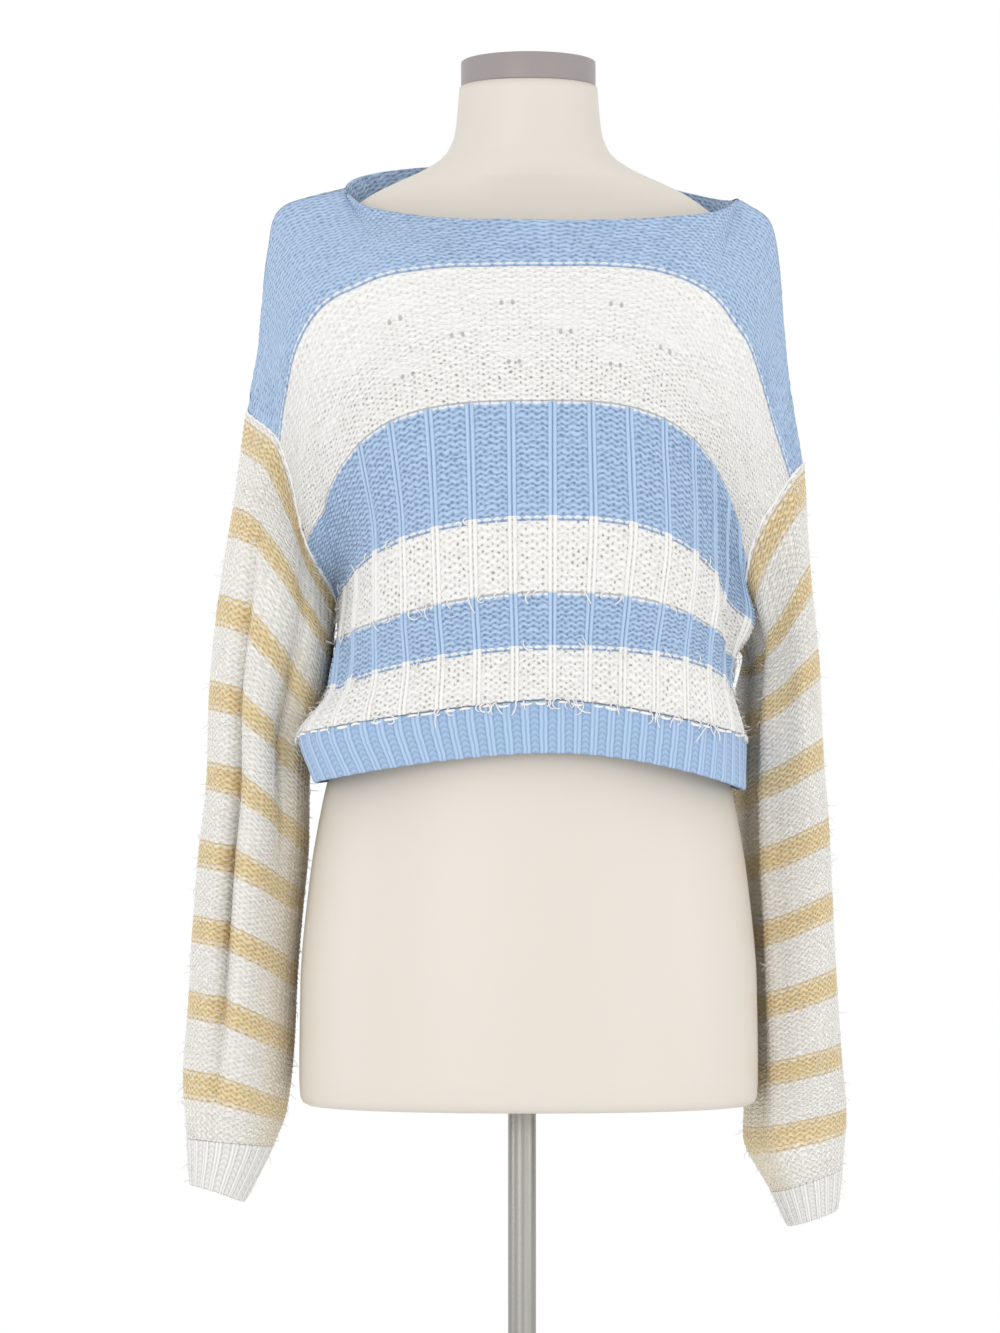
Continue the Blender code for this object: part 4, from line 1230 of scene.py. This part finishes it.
def loose_ends(panel, look):
    """Ends and loops of white yarn that hang from the colour changes of the lower body."""
    rng = np.random.default_rng(SEED_LOOSE_ENDS + SECOND[panel])
    rows = list(LOOSE_ENDS) if panel == "front" else []
    for course, many in ((BUST_END, 14), (WAIST_TOP, 22), (WAIST_END, 18), (HEM_TOP, 34)):
        for a in rng.uniform(-0.97, 0.97, many):
            rows.append((course, a, rng.uniform(0.005, 0.012), rng.uniform(-4.5, 4.5)))
    course, a, length, turn = np.array(rows).T
    places, out, down, across = on_body(panel, a, t_of(course - 0.2))
    lean = rng.uniform(-0.9, 0.9, len(a))
    # At the lower ends of the blue bands some stand up.
    at_end = (course == BUST_END) | (course == WAIST_END)
    lean = np.where(at_end, lean + math.pi * (rng.uniform(size=len(a)) < 0.4), lean)
    line = curled(places + 0.0012 * out, down, across, length, lean - turn / 2, turn, 12)
    line += (0.0016 * np.sin(np.linspace(0, 2.6, 13)))[None, :, None] * out[:, None]
    thick = rng.uniform(0.00045, 0.00070, len(a))[:, None]
    return tubes("loose_yarn_" + panel, line, out, thick, look, 4, 0.7)


def hem_yarn(panel, look):
    """Long white stitches over the seam between body and hem rib, broken where a rib of the body ends."""
    rng = np.random.default_rng(SEED_HEM_YARN + SECOND[panel])
    middles = (np.arange(-8, 8) + 0.5) * BODY_RIB_PITCH
    middles = np.concatenate([middles - 0.19 * BODY_RIB_PITCH, middles + 0.21 * BODY_RIB_PITCH])
    middles = middles[np.abs(middles) < 0.97]
    half = BODY_RIB_PITCH * rng.uniform(0.13, 0.20, len(middles))
    share = np.linspace(-1, 1, 11)
    a = np.clip(middles[:, None] + half[:, None] * share, -1, 1)
    t = T_HEM_RIB + 0.0030 * (1 - share**2) * rng.uniform(-0.6, 1.0, len(middles))[:, None]
    places, out, down, _ = on_body(panel, a, t)
    line = places + out * (0.0017 - 0.0018 * share**4)[None, :, None] + 0.0013 * down
    thick = 0.0012 * rng.uniform(0.8, 1.15, len(middles))[:, None] * (1 - 0.35 * share**4)
    return tubes("hem_yarn_" + panel, line, down.mean(axis=1), thick, look, 6, 0.7)


def armhole_yarn(side, look):
    """White yarn wound loosely along an armhole, from the underarm in front to the back, and its ends."""
    outward = OUTWARD[side]
    rng = np.random.default_rng(SEED_ARMHOLE + SECOND[side])
    level = np.linspace(T_UNDERARM, 0, 150)
    edge = np.full_like(level, outward)
    front, back = plain_body("front", edge, level), plain_body("back", edge, level[::-1])
    line = along(np.concatenate([front, back[1:]]), np.linspace(0, 1, ARMHOLE_POINTS))
    place = np.arange(float(len(line)))
    wobble, wobble_x, wobble_size = (
        wander(place, np.zeros_like(place), seed, reach)[:, None]
        for seed, reach in WOBBLES
    )
    middle = np.array([0, line[:, 1].mean(), line[:, 2].mean()])
    in_plane = np.array([0, 1, 1])
    line = line + (0.0003 + 0.0004 * wobble) * unit(line * in_plane - middle)
    line[:, :1] += outward * (0.0006 + 0.0004 * wobble_x)
    thick = 0.00115 * (1 + 0.3 * wobble_size.T)
    seam = tubes("armhole_yarn_" + side, line[None], np.array([[1.0, 0.0, 0.0]]), thick, look, 6, 1.0)
    roots = line[rng.integers(0, len(line), ARMHOLE_ENDS)]
    away = unit(roots * in_plane - middle + 1e-6)
    sideways = np.broadcast_to([float(outward), 0.0, 0.0], roots.shape)
    start = rng.uniform(0.2, 5.6, len(roots))
    bend = rng.uniform(-3.0, 3.0, len(roots))
    lines = curled(roots, away, sideways, rng.uniform(0.002, 0.0055, len(roots)), start, bend, 6)
    sizes = rng.uniform(0.00025, 0.00045, len(roots))[:, None]
    return seam, tubes("armhole_ends_" + side, lines, np.cross(away, sideways), sizes, look, 4, 0.6)


# --- Form, cap, pole and foot ------------------------------------------------------------------


def stacked_piece(name, x, y, z, poles, look):
    """Closed solid through level rings: x and y are [ring, point], z one a ring, poles its two end points."""
    count, steps = x.shape
    points = np.stack([x, y, np.repeat(z[:, None], steps, axis=1)], -1).reshape(-1, 3)
    hub = len(points)
    ends = [fan(hub, 0, steps, True), fan(hub + 1, hub - steps, steps)]
    faces = np.concatenate([grid_faces(wrapped(count, steps), True), *ends])
    return mesh_piece(name, np.concatenate([points, poles]), faces, None, look)


def turned_piece(name, profile, steps, middle_x, look):
    """Closed solid turned about a vertical axis. profile is (radius, z) from its lowest point up."""
    radius, z = np.array(profile, float)[1:-1].T
    angle = turn_angles(steps)
    x, y = middle_x + np.outer(radius, np.cos(angle)), np.outer(radius, np.sin(angle))
    return stacked_piece(name, x, y, z, [(middle_x, 0, profile[0][1]), (middle_x, 0, profile[-1][1])], look)


def rounded(radius, low, high, edge):
    """Profile of a disc or rod with rounded edges."""
    turn = np.linspace(0, math.pi / 2, 6)
    flat = radius - edge
    lower = [(flat + edge * math.sin(x), low + edge - edge * math.cos(x)) for x in turn]
    upper = [(flat + edge * math.cos(x), high - edge + edge * math.sin(x)) for x in turn]
    bottom = [(share * flat, low) for share in (0, 0.5, 0.98)]
    top = [(share * flat, high) for share in (0.98, 0.5, 0)]
    return bottom + lower + upper + top


def form_piece(look):
    """Form through the same sections as its solid, with finer rows and columns."""
    sections = np.array(FORM_SECTIONS)
    levels = sections[:, 0]
    z = np.unique(np.concatenate([levels, np.linspace(levels[0], levels[-1], FORM_ROWS)]))
    shape = smooth(levels, np.repeat(sections[:, None, 1:], len(z), axis=1), z)
    c, s = blunt(turn_angles(FORM_COLUMNS), FORM_CORNER)
    x = FORM_MIDDLE_X + shape[:, :1] * c
    y = np.where(s < 0, shape[:, 1:2], shape[:, 2:3]) * s
    return stacked_piece("form_cover", x, y, z, [(FORM_MIDDLE_X, 0, z[0]), (FORM_MIDDLE_X, 0, z[-1])], look)


def floor_piece(look):
    """Round floor, a hair under the foot."""
    radii = np.array([0.4, 1.0, 2.0, 3.2, 4.5])
    steps = 96
    angle = turn_angles(steps)
    x, y = np.outer(radii, np.cos(angle)), np.outer(radii, np.sin(angle))
    points = np.stack([x, y, np.full_like(x, FLOOR_Z)], -1).reshape(-1, 3)
    faces = [grid_faces(wrapped(len(radii), steps), False), fan(len(points), 0, steps)]
    points = np.concatenate([points, [(0, 0, FLOOR_Z)]])
    return mesh_piece("floor", points, np.concatenate(faces), None, look)


# --- Assembly ----------------------------------------------------------------------------------


def placed(made, node, instead=True):
    """The piece, fixed to the part's one body, and in the solid's stead if instead."""
    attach(made, "root")
    if instead:
        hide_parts(node)
    return made


pieces = {}
hem_look = rib_look("blue rib knit", *HEM_BLUES)
cuff_look = rib_look("white rib knit", *CUFF_WHITES)
for panel in ("front", "back"):
    pieces[panel] = placed(body_piece(panel, body_look(panel + " banded knit")), panel + "_panel")
    pieces["hem_" + panel] = placed(hem_piece(panel, hem_look), "hem_rib_" + panel)
for side in ("left", "right"):
    sleeve = sleeve_piece(side, sleeve_look(side + " sleeve knit"))
    pieces["sleeve_" + side] = placed(sleeve, "sleeve_" + side)
    pieces["cuff_" + side] = placed(cuff_piece(side, cuff_look), "cuff_" + side)

cap_bottom = FORM_SECTIONS[-1][0] + SEAM_GAP
cap = rounded(CAP_RADIUS, cap_bottom, cap_bottom + CAP_HEIGHT, 0.001)
pole = rounded(POLE_RADIUS, BASE_THICKNESS + SEAM_GAP, FORM_SECTIONS[0][0] - SEAM_GAP, 0.0005)
foot = rounded(BASE_RADIUS, 0, BASE_THICKNESS, 0.0015)
placed(form_piece(plain_look("form cover cream", FORM_CREAMS, 0.42)), "form_torso")
for name, profile, steps, middle_x, look, node in (
    ("cap_turned", cap, 96, FORM_MIDDLE_X, plain_look("cap grey", CAP_GREYS, 0.4), "neck_cap"),
    ("pole_tube", pole, 48, 0, plain_look("pole steel", STEEL_GREYS, 0.35, metallic=0.85), "pole"),
    ("foot_plate", foot, 128, 0, plain_look("foot steel", STEEL_GREYS, 0.4, metallic=0.85), "base_plate"),
):
    placed(turned_piece(name, profile, steps, middle_x, look), node)

yarn_look = plain_look("loose white yarn", LOOSE_WHITES, 0.9, sheen=0.2, grain=900.0)
extras = {}
for panel in ("front", "back"):
    extras[panel] = [body_fuzz(panel, yarn_look), loose_ends(panel, yarn_look)]
    extras["hem_" + panel] = [hem_yarn(panel, yarn_look)]
    for made in extras[panel]:
        placed(made, panel + "_panel", instead=False)
    placed(extras["hem_" + panel][0], "hem_rib_" + panel, instead=False)
for side in ("left", "right"):
    extras[side] = [sleeve_fuzz(side, yarn_look), *armhole_yarn(side, yarn_look)]
    for made in extras[side]:
        placed(made, "sleeve_" + side, instead=False)

# Flat sizes, worked out from the rings of the solids. The loops below only list them and set nothing.
for panel, cut, area in (("front", (0.58, 0.46), 0.192), ("back", (0.58, 0.48), 0.203)):
    loose = extras[panel]
for panel, width in (("front", 0.435), ("back", 0.520)):
    hem, loose = pieces["hem_" + panel], extras["hem_" + panel]
    panel + "_knit"

# --- Stage, light and camera -------------------------------------------------------------------

floor_piece(plain_look("floor", FLOOR_GREYS, 0.9, grain=60.0))

scene = bpy.context.scene
world = bpy.data.worlds.new("white studio")
scene.world = world
world.use_nodes = True
world.node_tree.nodes["Background"].inputs["Color"].default_value = (1, 1, 1, 1)
world.node_tree.nodes["Background"].inputs["Strength"].default_value = 1.0
scene.view_settings.view_transform = "Standard"


def area_light(name, place, target_z, size, power):
    """Round lamp that faces the part's axis at a height of target_z."""
    light = bpy.data.lights.new(name, "AREA")
    light.shape = "DISK"
    light.size = size
    light.energy = power
    obj = bpy.data.objects.new(name, light)
    obj.location = place
    x, y, z = place
    pitch = math.atan2(math.hypot(x, y), z - target_z)
    obj.rotation_euler = (pitch, 0, math.atan2(-y, -x) - math.pi / 2)
    scene.collection.objects.link(obj)


area_light("key", (-1.2, -3.1, 1.45), 1.15, 1.7, 16.0)
area_light("fill", (1.9, -2.9, 1.0), 1.05, 1.9, 9.0)
area_light("left strip", (-2.6, -0.5, 1.1), 1.1, 0.7, 5.0)
area_light("right strip", (2.4, -1.1, 1.1), 1.1, 0.7, 5.0)

camera = bpy.data.cameras.new("camera")
camera.sensor_width = 36
camera.lens = CAMERA_LENS
camera_object = bpy.data.objects.new("camera", camera)
camera_object.location = CAMERA_PLACE
camera_object.rotation_euler = (math.radians(90 + CAMERA_TILT), 0, 0)
scene.collection.objects.link(camera_object)
scene.camera = camera_object

bpy.context.view_layer.update()
